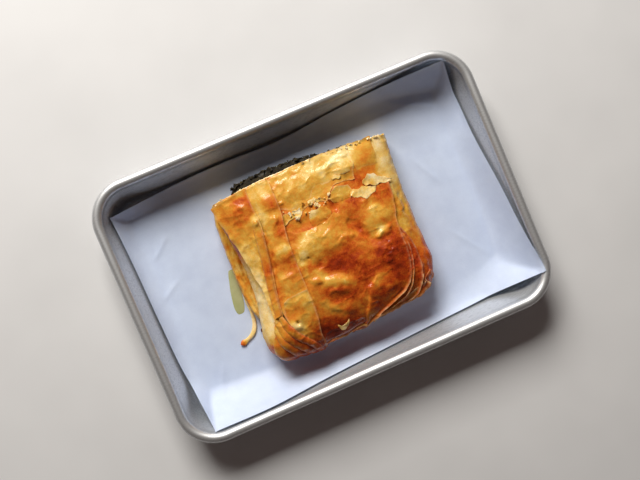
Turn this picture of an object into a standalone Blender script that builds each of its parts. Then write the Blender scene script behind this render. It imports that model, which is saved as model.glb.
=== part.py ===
"""Spanakopita pie served in its pan.

A squarish portion of phyllo pie with a spinach filling lies on a sheet of white paper in a
small rolled-rim aluminium sheet pan. Metres, +Z up. The origin is the middle of the pan's
underside: +X runs along the pan's long side, +Y towards the pie's open, cut face.
"""

import math

import bmesh
import bpy
from mathutils import Vector, noise

MM = 0.001

# Pan: a standard eighth-size sheet pan.
PAN_LENGTH = 241.3 * MM
PAN_WIDTH = 165.1 * MM
PAN_HEIGHT = 25.4 * MM
PAN_CORNER_RADIUS = 24.0 * MM
PAN_METAL = 1.0 * MM
RIM_RADIUS = 3.0 * MM
RIM_CURL_DEGREES = 235.0
WALL_FOOT_INSET = 12.5 * MM
WALL_FOOT_FILLET = 4.0 * MM
CORNER_SEGMENTS = 6
RIM_SEGMENTS = 9
FILLET_SEGMENTS = 4

# Paper: one sheet, pushed into the pan a little askew, so that some edges climb the walls.
PAPER_THICKNESS = 0.3 * MM
PAPER_GAP = 0.35 * MM
PAPER_LENGTH = 222.0 * MM
PAPER_WIDTH = 144.0 * MM
PAPER_ROWS = (0.0, 1.6, 3.4, 5.6, 8.5, 12.5, 18.0, 26.0, 38.0, 56.0)

# The sheet's edges as (x, y, z) in millimetres: left and right run back, the others right.
PAPER_LEFT = ((-102.6, -75.0, 22.0), (-108.0, -40.1, 3.2), (-109.2, -5.2, 6.5),
              (-109.7, 29.6, 6.5), (-110.6, 64.4, 14.0))
PAPER_RIGHT = ((115.3, -66.2, 25.2), (112.9, -36.0, 21.0), (111.8, -6.0, 17.0),
               (110.2, 25.0, 11.0), (109.6, 52.0, 9.0), (106.6, 73.4, 25.2))
PAPER_FRONT = ((-102.6, -75.0, 22.0), (-66.3, -75.1, 22.4), (-30.0, -73.6, 16.6),
               (6.3, -72.4, 12.2), (42.7, -71.2, 7.8), (79.0, -69.8, 4.8),
               (115.3, -66.2, 25.2))
PAPER_BACK = ((-110.6, 64.4, 14.0), (-74.0, 68.4, 3.0), (-38.0, 69.6, 2.8),
              (-2.0, 69.0, 2.8), (34.0, 72.0, 9.5), (70.0, 73.8, 17.0), (106.6, 73.4, 25.2))
LEFT_REACH = 9.0 * MM
RIGHT_REACH = 12.0 * MM
FRONT_REACH = 11.0 * MM
BACK_REACH = 7.0 * MM
TIP_REACH = 14.0 * MM
FLAP_REACH = 15.0 * MM

# Pie, measured over the crust.
PIE_LEFT = -56.0 * MM
PIE_RIGHT = 57.4 * MM
PIE_FRONT = -53.6 * MM
PIE_BACK = 48.2 * MM
PIE_BACK_BULGE = 3.6 * MM
PIE_BOTTOM = 2.0 * MM
PIE_SHOULDER = 21.5 * MM
PIE_APEX = 33.0 * MM
CROWN_REACH = 9.0 * MM
FRONT_LEFT_RADIUS = 10.0 * MM
FRONT_RIGHT_RADIUS = 17.0 * MM
SHEET_STEP = 1.1 * MM
TEAR_DEPTH = 1.5 * MM
FOLD_RELIEF = 0.9 * MM
FOLDS = 3
FAN_SLOPE = 5.0 * MM
FAN_ACROSS = 0.38
FAN_BACK = 0.34
FRONT_SHARE = 0.12

# Lattice fractions across the pie at which one sheet of pastry ends on top of the next.
BAND_EDGE = 0.20
PLATE_EDGE = 0.33
STRIP_EDGE = 0.90
EDGE_SPLIT = 0.004

# The crust's side, level by level: the fraction of its height, the inset and the height,
# and what the open pocket adds to the last two (millimetres).
CRUST_LEVELS = (0.0, 0.17, 0.33, 0.5, 0.67, 0.83, 1.0)
SIDE_INSETS = (3.0, 0.6, 0.0, 0.2, 0.8, 1.8, 3.2)
SIDE_HEIGHTS = (PIE_BOTTOM / MM, 5.0, 9.0, 12.5, 16.0, 19.0, PIE_SHOULDER / MM)
POCKET_INSETS = (0.0, 0.0, 0.0, 2.8, 8.0, 8.0, 5.6)
POCKET_DROPS = (0.0, 0.0, 0.0, 1.5, 3.0, 0.5, 0.8)

# Filling: runs through the pie and shows at the back face.
CAVITY_LEFT = -41.0 * MM
CAVITY_RIGHT = 49.0 * MM
CAVITY_FRONT = -45.0 * MM
CAVITY_FLOOR = 5.0 * MM
CAVITY_SHOULDER = 17.0 * MM
CAVITY_APEX = 27.0 * MM
CAVITY_LAST_Y = 43.0 * MM
CAVITY_CORNER_RADIUS = 13.0 * MM
CAVITY_COLUMNS = tuple(step / 14 for step in range(1, 14))
CAVITY_ROWS = tuple(step / 8 for step in range(1, 8))
FIT_GAP = 0.3 * MM
FILLING_STANDS_OUT = 2.0 * MM

# Small things on the paper.
STRIP_WIDTH = 2.8 * MM
STRIP_TIP_WIDTH = 5.2 * MM
STRIP_THICKNESS = 1.2 * MM
OIL_LENGTH = 28.0 * MM
OIL_WIDTH = 8.0 * MM
OIL_THICKNESS = 0.3 * MM


# ---------------------------------------------------------------- helpers

def clear_scene():
    """Remove every object of the open scene."""
    for item in list(bpy.data.objects):
        bpy.data.objects.remove(item, do_unlink=True)


def new_collection(name):
    """Return a collection of this name, linked to the scene."""
    collection = bpy.data.collections.new(name)
    bpy.context.scene.collection.children.link(collection)
    return collection


def make_material(name, colour, roughness, metallic=0.0, alpha=1.0):
    """Return a Principled material in one colour."""
    material = bpy.data.materials.new(name)
    material.use_nodes = True
    shader = material.node_tree.nodes["Principled BSDF"]
    shader.inputs["Base Color"].default_value = (*colour, 1.0)
    shader.inputs["Roughness"].default_value = roughness
    shader.inputs["Metallic"].default_value = metallic
    shader.inputs["Alpha"].default_value = alpha
    return material


def object_from_bmesh(name, bm, collection, material=None):
    """Write a bmesh into a new smooth-shaded object, faces out, and free it."""
    bmesh.ops.recalc_face_normals(bm, faces=bm.faces)
    closed = all(edge.is_manifold for edge in bm.edges)
    if closed and bm.calc_volume(signed=True) < 0.0:
        bmesh.ops.reverse_faces(bm, faces=bm.faces)
    mesh = bpy.data.meshes.new(name)
    bm.to_mesh(mesh)
    bm.free()
    mesh.shade_smooth()
    mesh.set_sharp_from_angle(angle=math.radians(50))
    if material:
        mesh.materials.append(material)
    item = bpy.data.objects.new(name, mesh)
    collection.objects.link(item)
    return item


def smooth_step(low, high, value):
    """Return 0 below low, 1 above high, and a smooth ramp between them."""
    t = min(1.0, max(0.0, (value - low) / (high - low)))
    return t * t * (3.0 - 2.0 * t)


def lattice_box(columns, rows, levels):
    """Return a unit cube cut into a lattice at the given fractions of its three sides."""
    bm = bmesh.new()
    bmesh.ops.create_cube(bm, size=1.0)
    bmesh.ops.translate(bm, verts=bm.verts, vec=(0.5, 0.5, 0.5))
    for axis, cuts in enumerate((columns, rows, levels)):
        normal = Vector((0.0, 0.0, 0.0))
        normal[axis] = 1.0
        for cut in cuts:
            geometry = bm.verts[:] + bm.edges[:] + bm.faces[:]
            bmesh.ops.bisect_plane(bm, geom=geometry, plane_co=normal * cut, plane_no=normal)
    return bm


def merge_flat_bottom(bm):
    """Join the lattice faces that lie in the flat underside into one."""
    lowest = min(vert.co.z for vert in bm.verts)
    flat = [face for face in bm.faces if all(v.co.z < lowest + 1e-6 for v in face.verts)]
    bmesh.ops.dissolve_faces(bm, faces=flat, use_verts=True)


# ---------------------------------------------------------------- pan

def rounded_ring(inset, height):
    """Return the points of the pan's outline, moved inwards by inset, at a height."""
    radius = PAN_CORNER_RADIUS - inset
    centre_x = PAN_LENGTH / 2 - PAN_CORNER_RADIUS
    centre_y = PAN_WIDTH / 2 - PAN_CORNER_RADIUS
    points = []
    for quarter, (side_x, side_y) in enumerate(((1, 1), (-1, 1), (-1, -1), (1, -1))):
        for step in range(CORNER_SEGMENTS + 1):
            angle = math.radians(90.0 * quarter + 90.0 * step / CORNER_SEGMENTS)
            x = side_x * centre_x + radius * math.cos(angle)
            y = side_y * centre_y + radius * math.sin(angle)
            points.append((x, y, height))
    return points


def wall_angle():
    """Return the slope of the pan's wall, which ends tangent to the rim's round."""
    run = WALL_FOOT_INSET - 2 * RIM_RADIUS
    return math.atan2(PAN_HEIGHT - PAN_METAL - RIM_RADIUS, run)


def pan_profile():
    """Return (inset, height) points of the food side: floor, fillet, wall and rolled rim."""
    slope = wall_angle()
    reach = WALL_FOOT_FILLET * math.tan(slope / 2)
    centre = (WALL_FOOT_INSET + reach, PAN_METAL + WALL_FOOT_FILLET)
    profile = []
    for step in range(FILLET_SEGMENTS + 1):
        angle = slope * step / FILLET_SEGMENTS
        inset = centre[0] - WALL_FOOT_FILLET * math.sin(angle)
        profile.append((inset, centre[1] - WALL_FOOT_FILLET * math.cos(angle)))
    start = slope - math.pi / 2
    for step in range(RIM_SEGMENTS + 1):
        angle = start + math.radians(RIM_CURL_DEGREES) * step / RIM_SEGMENTS
        inset = RIM_RADIUS + RIM_RADIUS * math.cos(angle)
        profile.append((inset, PAN_HEIGHT - RIM_RADIUS + RIM_RADIUS * math.sin(angle)))
    return profile


def pan_inset(x, y):
    """Return how far a point lies inside the pan's outer outline."""
    over_x = max(0.0, abs(x) - (PAN_LENGTH / 2 - PAN_CORNER_RADIUS))
    over_y = max(0.0, abs(y) - (PAN_WIDTH / 2 - PAN_CORNER_RADIUS))
    if over_x > 0.0 and over_y > 0.0:
        return PAN_CORNER_RADIUS - math.hypot(over_x, over_y)
    return min(PAN_LENGTH / 2 - abs(x), PAN_WIDTH / 2 - abs(y))


def pan_surface(x, y, profile):
    """Return the height of the pan's food side under a point of the floor, wall or rim."""
    inset = pan_inset(x, y)
    if inset >= profile[0][0]:
        return PAN_METAL
    for (inset0, height0), (inset1, height1) in zip(profile, profile[1:]):
        if inset1 <= inset <= inset0:
            return height0 + (height1 - height0) * (inset0 - inset) / (inset0 - inset1)
    return PAN_HEIGHT


def build_pan(collection):
    """Make the pan: a ring-by-ring skin over the food side, thickened by Solidify."""
    bm = bmesh.new()
    rings = []
    for inset, height in pan_profile():
        rings.append([bm.verts.new(point) for point in rounded_ring(inset, height)])
    bm.faces.new(rings[0])
    for inner, outer in zip(rings, rings[1:]):
        count = len(inner)
        for i in range(count):
            j = (i + 1) % count
            bm.faces.new((inner[i], outer[i], outer[j], inner[j]))
    material = make_material("Aluminium", (0.70, 0.71, 0.73), 0.35, metallic=1.0)
    pan = object_from_bmesh("pan", bm, collection, material)
    floor = max(pan.data.polygons, key=lambda face: face.area)
    if floor.normal.z < 0.0:
        pan.data.flip_normals()
    shell = pan.modifiers.new("Metal", "SOLIDIFY")
    shell.thickness = PAN_METAL
    shell.offset = -1.0
    shell.use_even_offset = True
    return pan


# ---------------------------------------------------------------- paper

def curve_point(points, t):
    """Return the place at t, 0..1, on a smooth curve through points."""
    route = [Vector(point) for point in points]
    place = min(max(t, 0.0), 1.0) * (len(route) - 1)
    i = min(int(place), len(route) - 2)
    t = place - i
    p1, p2 = route[i], route[i + 1]
    p0 = route[i - 1] if i > 0 else 2 * p1 - p2
    p3 = route[i + 2] if i + 2 < len(route) else 2 * p2 - p1
    return 0.5 * (2 * p1 + (p2 - p0) * t + (2 * p0 - 5 * p1 + 4 * p2 - p3) * t ** 2
                  + (3 * p1 - p0 - 3 * p2 + p3) * t ** 3)


def paper_point(u, v):
    """Return a point of the sheet in plan, between its four curved edges."""
    front = curve_point(PAPER_FRONT, u)
    back = curve_point(PAPER_BACK, u)
    left = curve_point(PAPER_LEFT, v)
    right = curve_point(PAPER_RIGHT, v)
    near = Vector(PAPER_FRONT[0]).lerp(Vector(PAPER_FRONT[-1]), u)
    far = Vector(PAPER_BACK[0]).lerp(Vector(PAPER_BACK[-1]), u)
    point = left.lerp(right, u) + front.lerp(back, v) - near.lerp(far, v)
    return point.x * MM, point.y * MM


def paper_height(u, v, x, y, profile):
    """Return the sheet's height: the highest of its four curled edges, clear of the pan."""
    floor = PAN_METAL + PAPER_GAP
    lying = [pan_surface(x + 0.5 * MM * math.copysign(1, x), y, profile) + PAPER_GAP,
             pan_surface(x, y + 0.5 * MM * math.copysign(1, y), profile) + PAPER_GAP]
    sides = (
        (curve_point(PAPER_LEFT, v), u * PAPER_LENGTH, LEFT_REACH, 1.7),
        (curve_point(PAPER_RIGHT, v), (1.0 - u) * PAPER_LENGTH,
         RIGHT_REACH + TIP_REACH * (1.0 - v) ** 6, 1.7),
        (curve_point(PAPER_FRONT, u), v * PAPER_WIDTH, FRONT_REACH + TIP_REACH * u ** 6, 1.7),
        (curve_point(PAPER_BACK, u), (1.0 - v) * PAPER_WIDTH,
         BACK_REACH + FLAP_REACH * max(0.0, (u - 0.6) / 0.4) ** 3, 1.25),
    )
    for edge, distance, reach, roundness in sides:
        curl = max(0.0, 1.0 - distance / reach) ** roundness
        lying.append(floor + (edge.z * MM - floor) * curl)
    return max(lying)


def fractions(distances, length):
    """Return lattice fractions from rows that crowd towards both ends of a length."""
    low = [distance * MM / length for distance in distances]
    return sorted(set(low + [0.5] + [1.0 - value for value in low]))


def build_paper(collection):
    """Make the paper: a grid that lies on the floor and curls up towards its edges."""
    profile = pan_profile()
    bm = bmesh.new()
    grid = []
    for v in fractions(PAPER_ROWS, PAPER_WIDTH):
        line = []
        for u in fractions(PAPER_ROWS + (80.0,), PAPER_LENGTH):
            x, y = paper_point(u, v)
            line.append(bm.verts.new((x, y, paper_height(u, v, x, y, profile))))
        grid.append(line)
    for near, far in zip(grid, grid[1:]):
        for i in range(len(near) - 1):
            bm.faces.new((near[i], near[i + 1], far[i + 1], far[i]))
    material = make_material("White paper", (0.80, 0.82, 0.88), 0.6)
    paper = object_from_bmesh("paper_liner", bm, collection, material)
    if paper.data.polygons[len(paper.data.polygons) // 2].normal.z < 0.0:
        paper.data.flip_normals()
    sheet = paper.modifiers.new("Thickness", "SOLIDIFY")
    sheet.thickness = PAPER_THICKNESS
    sheet.offset = 1.0
    return paper


# ---------------------------------------------------------------- pie

def crust_left(v):
    """Return the left outline's x: nearly straight, with a notch behind the folded corner."""
    notch = 2.6 * MM * math.exp(-((v - 0.28) / 0.035) ** 2)
    return PIE_LEFT + notch + 2.0 * MM * smooth_step(0.6, 1.0, v)


def crust_right(v):
    """Return the right outline's x: swelling at the front corner and at the cut."""
    swell = 1.4 * MM * math.exp(-((v - 0.2) / 0.15) ** 2)
    return PIE_RIGHT - 1.4 * MM + swell + 3.2 * MM * smooth_step(0.6, 1.0, v)


def crust_front(u):
    """Return the front outline's y, which draws back towards the right."""
    return PIE_FRONT - 2.0 * MM + 5.5 * MM * u


def crust_back(u):
    """Return the cut face's y, which bulges in the middle."""
    return PIE_BACK + PIE_BACK_BULGE * math.sin(math.pi * u) ** 0.8


def sheet_x(u, v):
    """Return x across the pie, with the lattice drawn along the edges of the top sheets."""
    front = 1.0 - v
    knots = (
        (0.0, crust_left(v)),
        (BAND_EDGE, -29.5 * MM - 15.0 * MM * front ** 1.6),
        (PLATE_EDGE, -14.5 * MM - 9.5 * MM * front ** 0.85),
        (STRIP_EDGE, 48.0 * MM - 25.0 * MM * front ** 4.5),
        (1.0, crust_right(v)),
    )
    for (u0, x0), (u1, x1) in zip(knots, knots[1:]):
        if u <= u1:
            return x0 + (x1 - x0) * (u - u0) / (u1 - u0)
    return knots[-1][1]


def pocket(v):
    """Return how open the pocket in the left side is, 0..1, from front to back."""
    return (1.0 - smooth_step(0.62, 1.0, v)) * smooth_step(0.36, 0.5, v)


def side_level(w, open_pocket):
    """Return the left side's inset, the other sides' inset, and both heights of a level."""
    place = min(range(len(CRUST_LEVELS)), key=lambda i: abs(CRUST_LEVELS[i] - w))
    inset = SIDE_INSETS[place] * MM
    height = SIDE_HEIGHTS[place] * MM
    left_inset = inset + POCKET_INSETS[place] * MM * open_pocket
    left_height = height - POCKET_DROPS[place] * MM * open_pocket
    return inset, height, left_inset, left_height


def crown(left, right, front, back):
    """Return how far the top has risen, 0..1, from the distances to its four edges."""
    rise = 1.0
    for distance in (left, right, front, back + 0.8 * CROWN_REACH):
        rise *= 1.0 - math.exp(-max(0.0, distance) / CROWN_REACH)
    return rise


def sheet_relief(u, x, y):
    """Return the top's small heights: stepped sheets, the torn strip and soft blisters."""
    if u < BAND_EDGE:
        layer = 2.0
    elif u < PLATE_EDGE:
        layer = 1.0
    elif u < STRIP_EDGE:
        layer = 0.0
    else:
        layer = -1.0
    along_tear = (x - 9.0 * MM) * math.cos(0.14) + (y - 4.0 * MM) * math.sin(0.14)
    across_tear = (y - 4.0 * MM) * math.cos(0.14) - (x - 9.0 * MM) * math.sin(0.14)
    tear = math.exp(-(along_tear / (33 * MM)) ** 6 - (across_tear / (6 * MM)) ** 4)
    blister = noise.noise(Vector((x, y, 0.0)) / (17 * MM)) * 1.2 * MM
    return layer * SHEET_STEP - tear * TEAR_DEPTH + blister


def round_corner(x, y, corner_x, corner_y, radius):
    """Move a point of a square corner smoothly onto the round one of this radius."""
    side_x = math.copysign(1.0, corner_x)
    side_y = math.copysign(1.0, corner_y)
    s = 1.0 + (x - corner_x) * side_x / radius
    t = 1.0 + (y - corner_y) * side_y / radius
    if s <= 0.0 or t <= 0.0:
        return x, y
    round_s = s * math.sqrt(max(0.0, 1.0 - t * t / 2))
    round_t = t * math.sqrt(max(0.0, 1.0 - s * s / 2))
    return corner_x + side_x * (round_s - 1.0) * radius, corner_y + side_y * (round_t - 1.0) * radius


def corner_fan(u, v, w):
    """Return how far the pleated front-left corner steps back at a level."""
    reach = smooth_step(0.0, 1.0, 1.0 - u / FAN_ACROSS) * smooth_step(0.0, 1.0, 1.0 - v / FAN_BACK)
    pleat = FOLD_RELIEF * math.cos(w * 2 * math.pi * FOLDS)
    return (FAN_SLOPE * w ** 1.5 + pleat) * reach


def crust_point(u, v, w):
    """Return the place on the crust of a lattice point (u across, v back, w up)."""
    inset, height, left_inset, left_height = side_level(w, pocket(v))
    near_left = max(0.0, 1.0 - u / BAND_EDGE)
    near_right = max(0.0, 1.0 - (1.0 - u) / (1.0 - STRIP_EDGE))
    near_front = max(0.0, 1.0 - v / FRONT_SHARE)
    x = sheet_x(u, v) + left_inset * near_left - inset * near_right
    y = crust_front(u) * (1.0 - v) + crust_back(u) * v + inset * near_front
    rise = crown(x - crust_left(v) - left_inset, crust_right(v) - inset - x,
                 y - crust_front(u) - inset, crust_back(u) - y)
    x, y = round_corner(x, y, PIE_LEFT + inset, crust_front(0.0) + inset,
                        FRONT_LEFT_RADIUS - inset)
    x, y = round_corner(x, y, crust_right(0.0) - inset, crust_front(1.0) + inset,
                        FRONT_RIGHT_RADIUS - inset)
    fan = corner_fan(u, v, w)
    z = height + (left_height - height) * near_left
    if w == 1.0:
        z += (PIE_APEX - PIE_SHOULDER) * rise + sheet_relief(u, x, y) * min(1.0, 2.0 * rise)
    return x + fan, y + fan, z


def crust_columns():
    """Return the lattice fractions across: a close pair at each sheet's edge."""
    columns = [0.04, 0.08, 0.12, 0.16, 0.265, 0.95, 0.98]
    for edge in (BAND_EDGE, PLATE_EDGE, STRIP_EDGE):
        columns += [edge - EDGE_SPLIT, edge + EDGE_SPLIT]
    columns += [PLATE_EDGE + (STRIP_EDGE - PLATE_EDGE) * step / 12 for step in range(1, 12)]
    return columns


def cavity_point(u, v, w, shrink, back):
    """Return the place on the filling's space of a lattice point, shrunk by a gap."""
    x = CAVITY_LEFT + shrink + (CAVITY_RIGHT - CAVITY_LEFT - 2 * shrink) * u
    last_row = CAVITY_ROWS[-1]
    if v <= last_row:
        y = CAVITY_FRONT + shrink + (CAVITY_LAST_Y - CAVITY_FRONT - shrink) * v / last_row
    else:
        y = CAVITY_LAST_Y + (back - CAVITY_LAST_Y) * (v - last_row) / (1.0 - last_row)
    rise = crown(x - PIE_LEFT, PIE_RIGHT - x, y - PIE_FRONT, max(0.0, PIE_BACK - y))
    x, y = round_corner(x, y, CAVITY_RIGHT - shrink, CAVITY_FRONT + shrink,
                        CAVITY_CORNER_RADIUS - shrink)
    roof = CAVITY_SHOULDER + (CAVITY_APEX - CAVITY_SHOULDER) * rise ** 2 - shrink
    floor = CAVITY_FLOOR + shrink
    return x, y, floor + (roof - floor) * w


def build_pastry(collection, cutters):
    """Make the phyllo crust: a folded, domed box that is hollow from its cut face."""
    rows = [0.02, 0.05, 0.09] + [0.09 + 0.07 * step for step in range(1, 13)] + [0.97]
    bm = lattice_box(crust_columns(), rows, CRUST_LEVELS[1:-1])
    for vert in bm.verts:
        vert.co = crust_point(*vert.co)
    merge_flat_bottom(bm)
    material = make_material("Baked phyllo", (0.78, 0.45, 0.14), 0.35)
    pastry = object_from_bmesh("pastry", bm, collection, material)

    hollow = lattice_box(CAVITY_COLUMNS, CAVITY_ROWS, (0.5,))
    for vert in hollow.verts:
        vert.co = cavity_point(*vert.co, 0.0, PIE_BACK + 15.0 * MM)
    cutter = object_from_bmesh("filling_space", hollow, cutters)
    cutter.hide_render = True
    cutter.display_type = "WIRE"
    cut = pastry.modifiers.new("Filling space", "BOOLEAN")
    cut.operation = "DIFFERENCE"
    cut.solver = "EXACT"
    cut.object = cutter
    return pastry


def build_filling(collection):
    """Make the spinach filling, which stands out a little, unevenly, at the cut face."""
    bm = lattice_box(CAVITY_COLUMNS, CAVITY_ROWS, (0.33, 0.67))
    for vert in bm.verts:
        u, v, w = vert.co
        back = crust_back(0.12 + 0.8 * u)
        if v > 0.99:
            clump = noise.noise(Vector((u * 9.0, w * 2.5, 4.0)))
            fullest = 1.0 + 1.2 * math.exp(-((u - 0.22) / 0.18) ** 2)
            back += FILLING_STANDS_OUT * (0.4 + clump) * fullest
        vert.co = cavity_point(u, v, w, FIT_GAP, back)
    material = make_material("Spinach filling", (0.10, 0.13, 0.05), 0.55)
    return object_from_bmesh("filling", bm, collection, material)


# ---------------------------------------------------------------- small things

def path_frames(points, count):
    """Return (point, sideways) pairs along a smooth curve through points."""
    frames = []
    for i in range(count):
        t = i / (count - 1)
        heading = curve_point(points, min(1.0, t + 0.01)) - curve_point(points, max(0.0, t - 0.01))
        frames.append((curve_point(points, t), Vector((-heading.y, heading.x, 0.0)).normalized()))
    return frames


def build_strip(collection):
    """Make the loose ribbon of pastry that has peeled off the pie's left side."""
    route = ((-56.9, -4.0, 2.7), (-56.8, -13.0, 2.6), (-57.0, -21.0, 2.6), (-57.9, -27.5, 2.7),
             (-61.0, -32.6, 3.0), (-66.2, -35.4, 2.7), (-70.6, -36.4, 2.9))
    frames = path_frames([[value * MM for value in point] for point in route], 21)
    bm = lattice_box([step / 20 for step in range(1, 20)], (0.5,), ())
    for vert in bm.verts:
        u, v, w = vert.co
        middle, sideways = frames[round(u * 20)]
        flare = smooth_step(0.75, 1.0, u)
        taper = 0.35 + 0.65 * smooth_step(0.0, 0.3, u)
        width = (STRIP_WIDTH + (STRIP_TIP_WIDTH - STRIP_WIDTH) * flare) * taper
        rim = 1.0 - 0.5 * abs(2.0 * v - 1.0)
        vert.co = middle + sideways * width * (v - 0.5)
        vert.co.z += STRIP_THICKNESS * (w * rim + (1.0 - rim) * 0.4)
    material = make_material("Pale phyllo", (0.90, 0.75, 0.45), 0.45)
    return object_from_bmesh("pastry_strip", bm, collection, material)


def build_oil(collection):
    """Make the small drop of oil on the paper, longer than wide and fuller at the front."""
    bm = bmesh.new()
    bmesh.ops.create_cone(bm, cap_ends=True, segments=28, radius1=1.0, radius2=0.8, depth=1.0)
    middle = Vector((-60.6 * MM, -5.6 * MM, 2.1 * MM))
    heading = Vector((-0.17, -1.0, 0.0)).normalized()
    sideways = Vector((1.0, -0.17, 0.0)).normalized()
    for vert in bm.verts:
        lengthways, across, up = vert.co
        fullness = 0.72 + 0.34 * lengthways
        place = heading * lengthways * OIL_LENGTH / 2 + sideways * across * fullness * OIL_WIDTH / 2
        vert.co = middle + place + Vector((0.0, 0.0, up * OIL_THICKNESS))
    material = make_material("Olive oil", (0.75, 0.72, 0.40), 0.1, alpha=0.6)
    return object_from_bmesh("oil_drop", bm, collection, material)


def main():
    """Build every piece of the pie in its pan."""
    clear_scene()
    parts = new_collection("spanakopita_pie")
    cutters = new_collection("cutters")
    build_pan(parts)
    build_paper(parts)
    build_pastry(parts, cutters)
    build_filling(parts)
    build_strip(parts)
    build_oil(parts)


main()
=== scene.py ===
"""Spanakopita pie in its sheet pan: the looks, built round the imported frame.

The frame says where the pan, the paper, the crust and the filling are. Every length inside the
classes is in millimetres, from the middle of the pan's underside: x to the right along the pan's
long side, y back towards the pie's cut face, z up. Meshes are written in metres.

Sheets of phyllo are drawn on the crust as if it were unrolled: inside the crown's edge a place is
simply the plan, and beyond it the distance runs down the side.
"""

import logging
import math
from dataclasses import dataclass, field
from enum import Enum

import bmesh
import bpy
import numpy as np
from mathutils import Matrix, Vector


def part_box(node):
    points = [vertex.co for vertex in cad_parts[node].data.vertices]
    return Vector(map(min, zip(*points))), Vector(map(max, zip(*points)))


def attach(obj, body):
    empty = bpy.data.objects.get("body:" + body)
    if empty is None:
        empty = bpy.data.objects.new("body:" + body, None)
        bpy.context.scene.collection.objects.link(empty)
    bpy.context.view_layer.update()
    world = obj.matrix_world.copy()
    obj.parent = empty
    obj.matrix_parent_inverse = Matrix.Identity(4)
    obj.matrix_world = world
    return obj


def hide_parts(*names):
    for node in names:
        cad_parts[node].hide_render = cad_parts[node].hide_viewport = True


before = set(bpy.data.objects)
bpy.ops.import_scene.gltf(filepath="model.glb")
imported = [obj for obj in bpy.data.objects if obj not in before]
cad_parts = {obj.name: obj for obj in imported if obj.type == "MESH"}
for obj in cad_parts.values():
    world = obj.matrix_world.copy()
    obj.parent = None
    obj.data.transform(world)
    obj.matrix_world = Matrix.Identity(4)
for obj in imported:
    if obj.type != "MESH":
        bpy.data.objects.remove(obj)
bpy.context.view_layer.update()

MM = 0.001
LOG = logging.getLogger("spanakopita")

Outline = tuple[tuple[float, float], ...]
Tones = tuple[tuple[float, float, float], ...]


# ------------------------------------------------------------------ numbers and curves

def box_mm(node: str) -> tuple[np.ndarray, np.ndarray]:
    """Return a CAD node's lowest and highest corner in millimetres."""
    low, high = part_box(node)
    return np.array(low) / MM, np.array(high) / MM


def lattice_value(column: np.ndarray, row: np.ndarray, seed: int) -> np.ndarray:
    """Return a fixed random value from -1 to 1 for each cell of a lattice."""
    mask = 0xFFFFFFFF
    mixed = (column * 374761393 + row * 668265263 + seed * 97911719) & mask
    mixed = ((mixed ^ (mixed >> 13)) * 1274126177) & mask
    return ((mixed ^ (mixed >> 16)) & 0xFFFF) / 32767.5 - 1.0


def soft_noise(x: np.ndarray, y: np.ndarray, seed: int) -> np.ndarray:
    """Return smooth noise from -1 to 1 with features about one unit across."""
    left, low = np.floor(x).astype(np.int64), np.floor(y).astype(np.int64)
    fx, fy = x - left, y - low
    fx = fx * fx * fx * (fx * (fx * 6 - 15) + 10)
    fy = fy * fy * fy * (fy * (fy * 6 - 15) + 10)
    near = lattice_value(left, low, seed) * (1 - fx) + lattice_value(left + 1, low, seed) * fx
    far = lattice_value(left, low + 1, seed) * (1 - fx)
    far = far + lattice_value(left + 1, low + 1, seed) * fx
    return near * (1 - fy) + far * fy


def rough_noise(x: np.ndarray, y: np.ndarray, size: float, seed: int, octaves: int = 3) -> np.ndarray:
    """Return layered noise from about -1 to 1.

    Args:
        x, y: places in millimetres.
        size: width of the largest feature in millimetres.
        seed: chooses the pattern.
        octaves: how many layers, each half the size and half the strength of the last.

    Returns:
        One value for each place.
    """
    total = np.zeros_like(x, dtype=float)
    strength = 1.0
    for octave in range(octaves):
        scale = 2.0 ** octave / size
        total += strength * soft_noise(x * scale + 17.3 * octave, y * scale - 9.1 * octave, seed + octave)
        strength *= 0.5
    return total / (2.0 - 2.0 ** (1 - octaves))


def ramp(low: float, high: float, value: np.ndarray) -> np.ndarray:
    """Return 0 below low, 1 above high, and a smooth step between."""
    t = np.clip((value - low) / (high - low), 0.0, 1.0)
    return t * t * (3.0 - 2.0 * t)


def spline(p0: np.ndarray, p1: np.ndarray, p2: np.ndarray, p3: np.ndarray, t: np.ndarray) -> np.ndarray:
    """Return places between p1 and p2 on the smooth curve through four points, at shares t."""
    return 0.5 * (2 * p1 + (p2 - p0) * t + (2 * p0 - 5 * p1 + 4 * p2 - p3) * t ** 2
                  + (3 * p1 - p0 - 3 * p2 + p3) * t ** 3)


def extended(points: tuple) -> np.ndarray:
    """Return a route with one more point run on past each end."""
    route = np.array(points, float)
    return np.vstack([2 * route[0] - route[1], route, 2 * route[-1] - route[-2]])


def evenly(route: np.ndarray, count: int) -> np.ndarray:
    """Return places evenly spaced along straight runs."""
    length = np.concatenate([[0.0], np.cumsum(np.linalg.norm(np.diff(route, axis=0), axis=1))])
    wanted = np.linspace(0.0, length[-1], count)
    return np.stack([np.interp(wanted, length, route[:, k]) for k in range(route.shape[1])], axis=1)


def smooth_curve(points: tuple, count: int) -> np.ndarray:
    """Return evenly spaced places on a smooth curve.

    Args:
        points: the corners of the curve, with any number of coordinates each.
        count: how many places to return.

    Returns:
        An array of count rows.
    """
    padded = extended(points)
    spans = len(padded) - 3
    dense = [spline(*padded[i:i + 4], np.linspace(0.0, 1.0, 24, endpoint=i == spans - 1)[:, None])
             for i in range(spans)]
    return evenly(np.vstack(dense), count)


def straight_curve(points: tuple, count: int) -> np.ndarray:
    """Return evenly spaced places on straight runs between points."""
    return evenly(np.array(points, float), count)


def curve_length(points: np.ndarray) -> float:
    """Return the length of a route in millimetres."""
    return float(np.linalg.norm(np.diff(points, axis=0), axis=1).sum())


def unit_rows(vectors: np.ndarray) -> np.ndarray:
    """Return each row scaled to length one."""
    return vectors / np.maximum(1e-6, np.linalg.norm(vectors, axis=1))[:, None]


# ------------------------------------------------------------------ meshes

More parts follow.
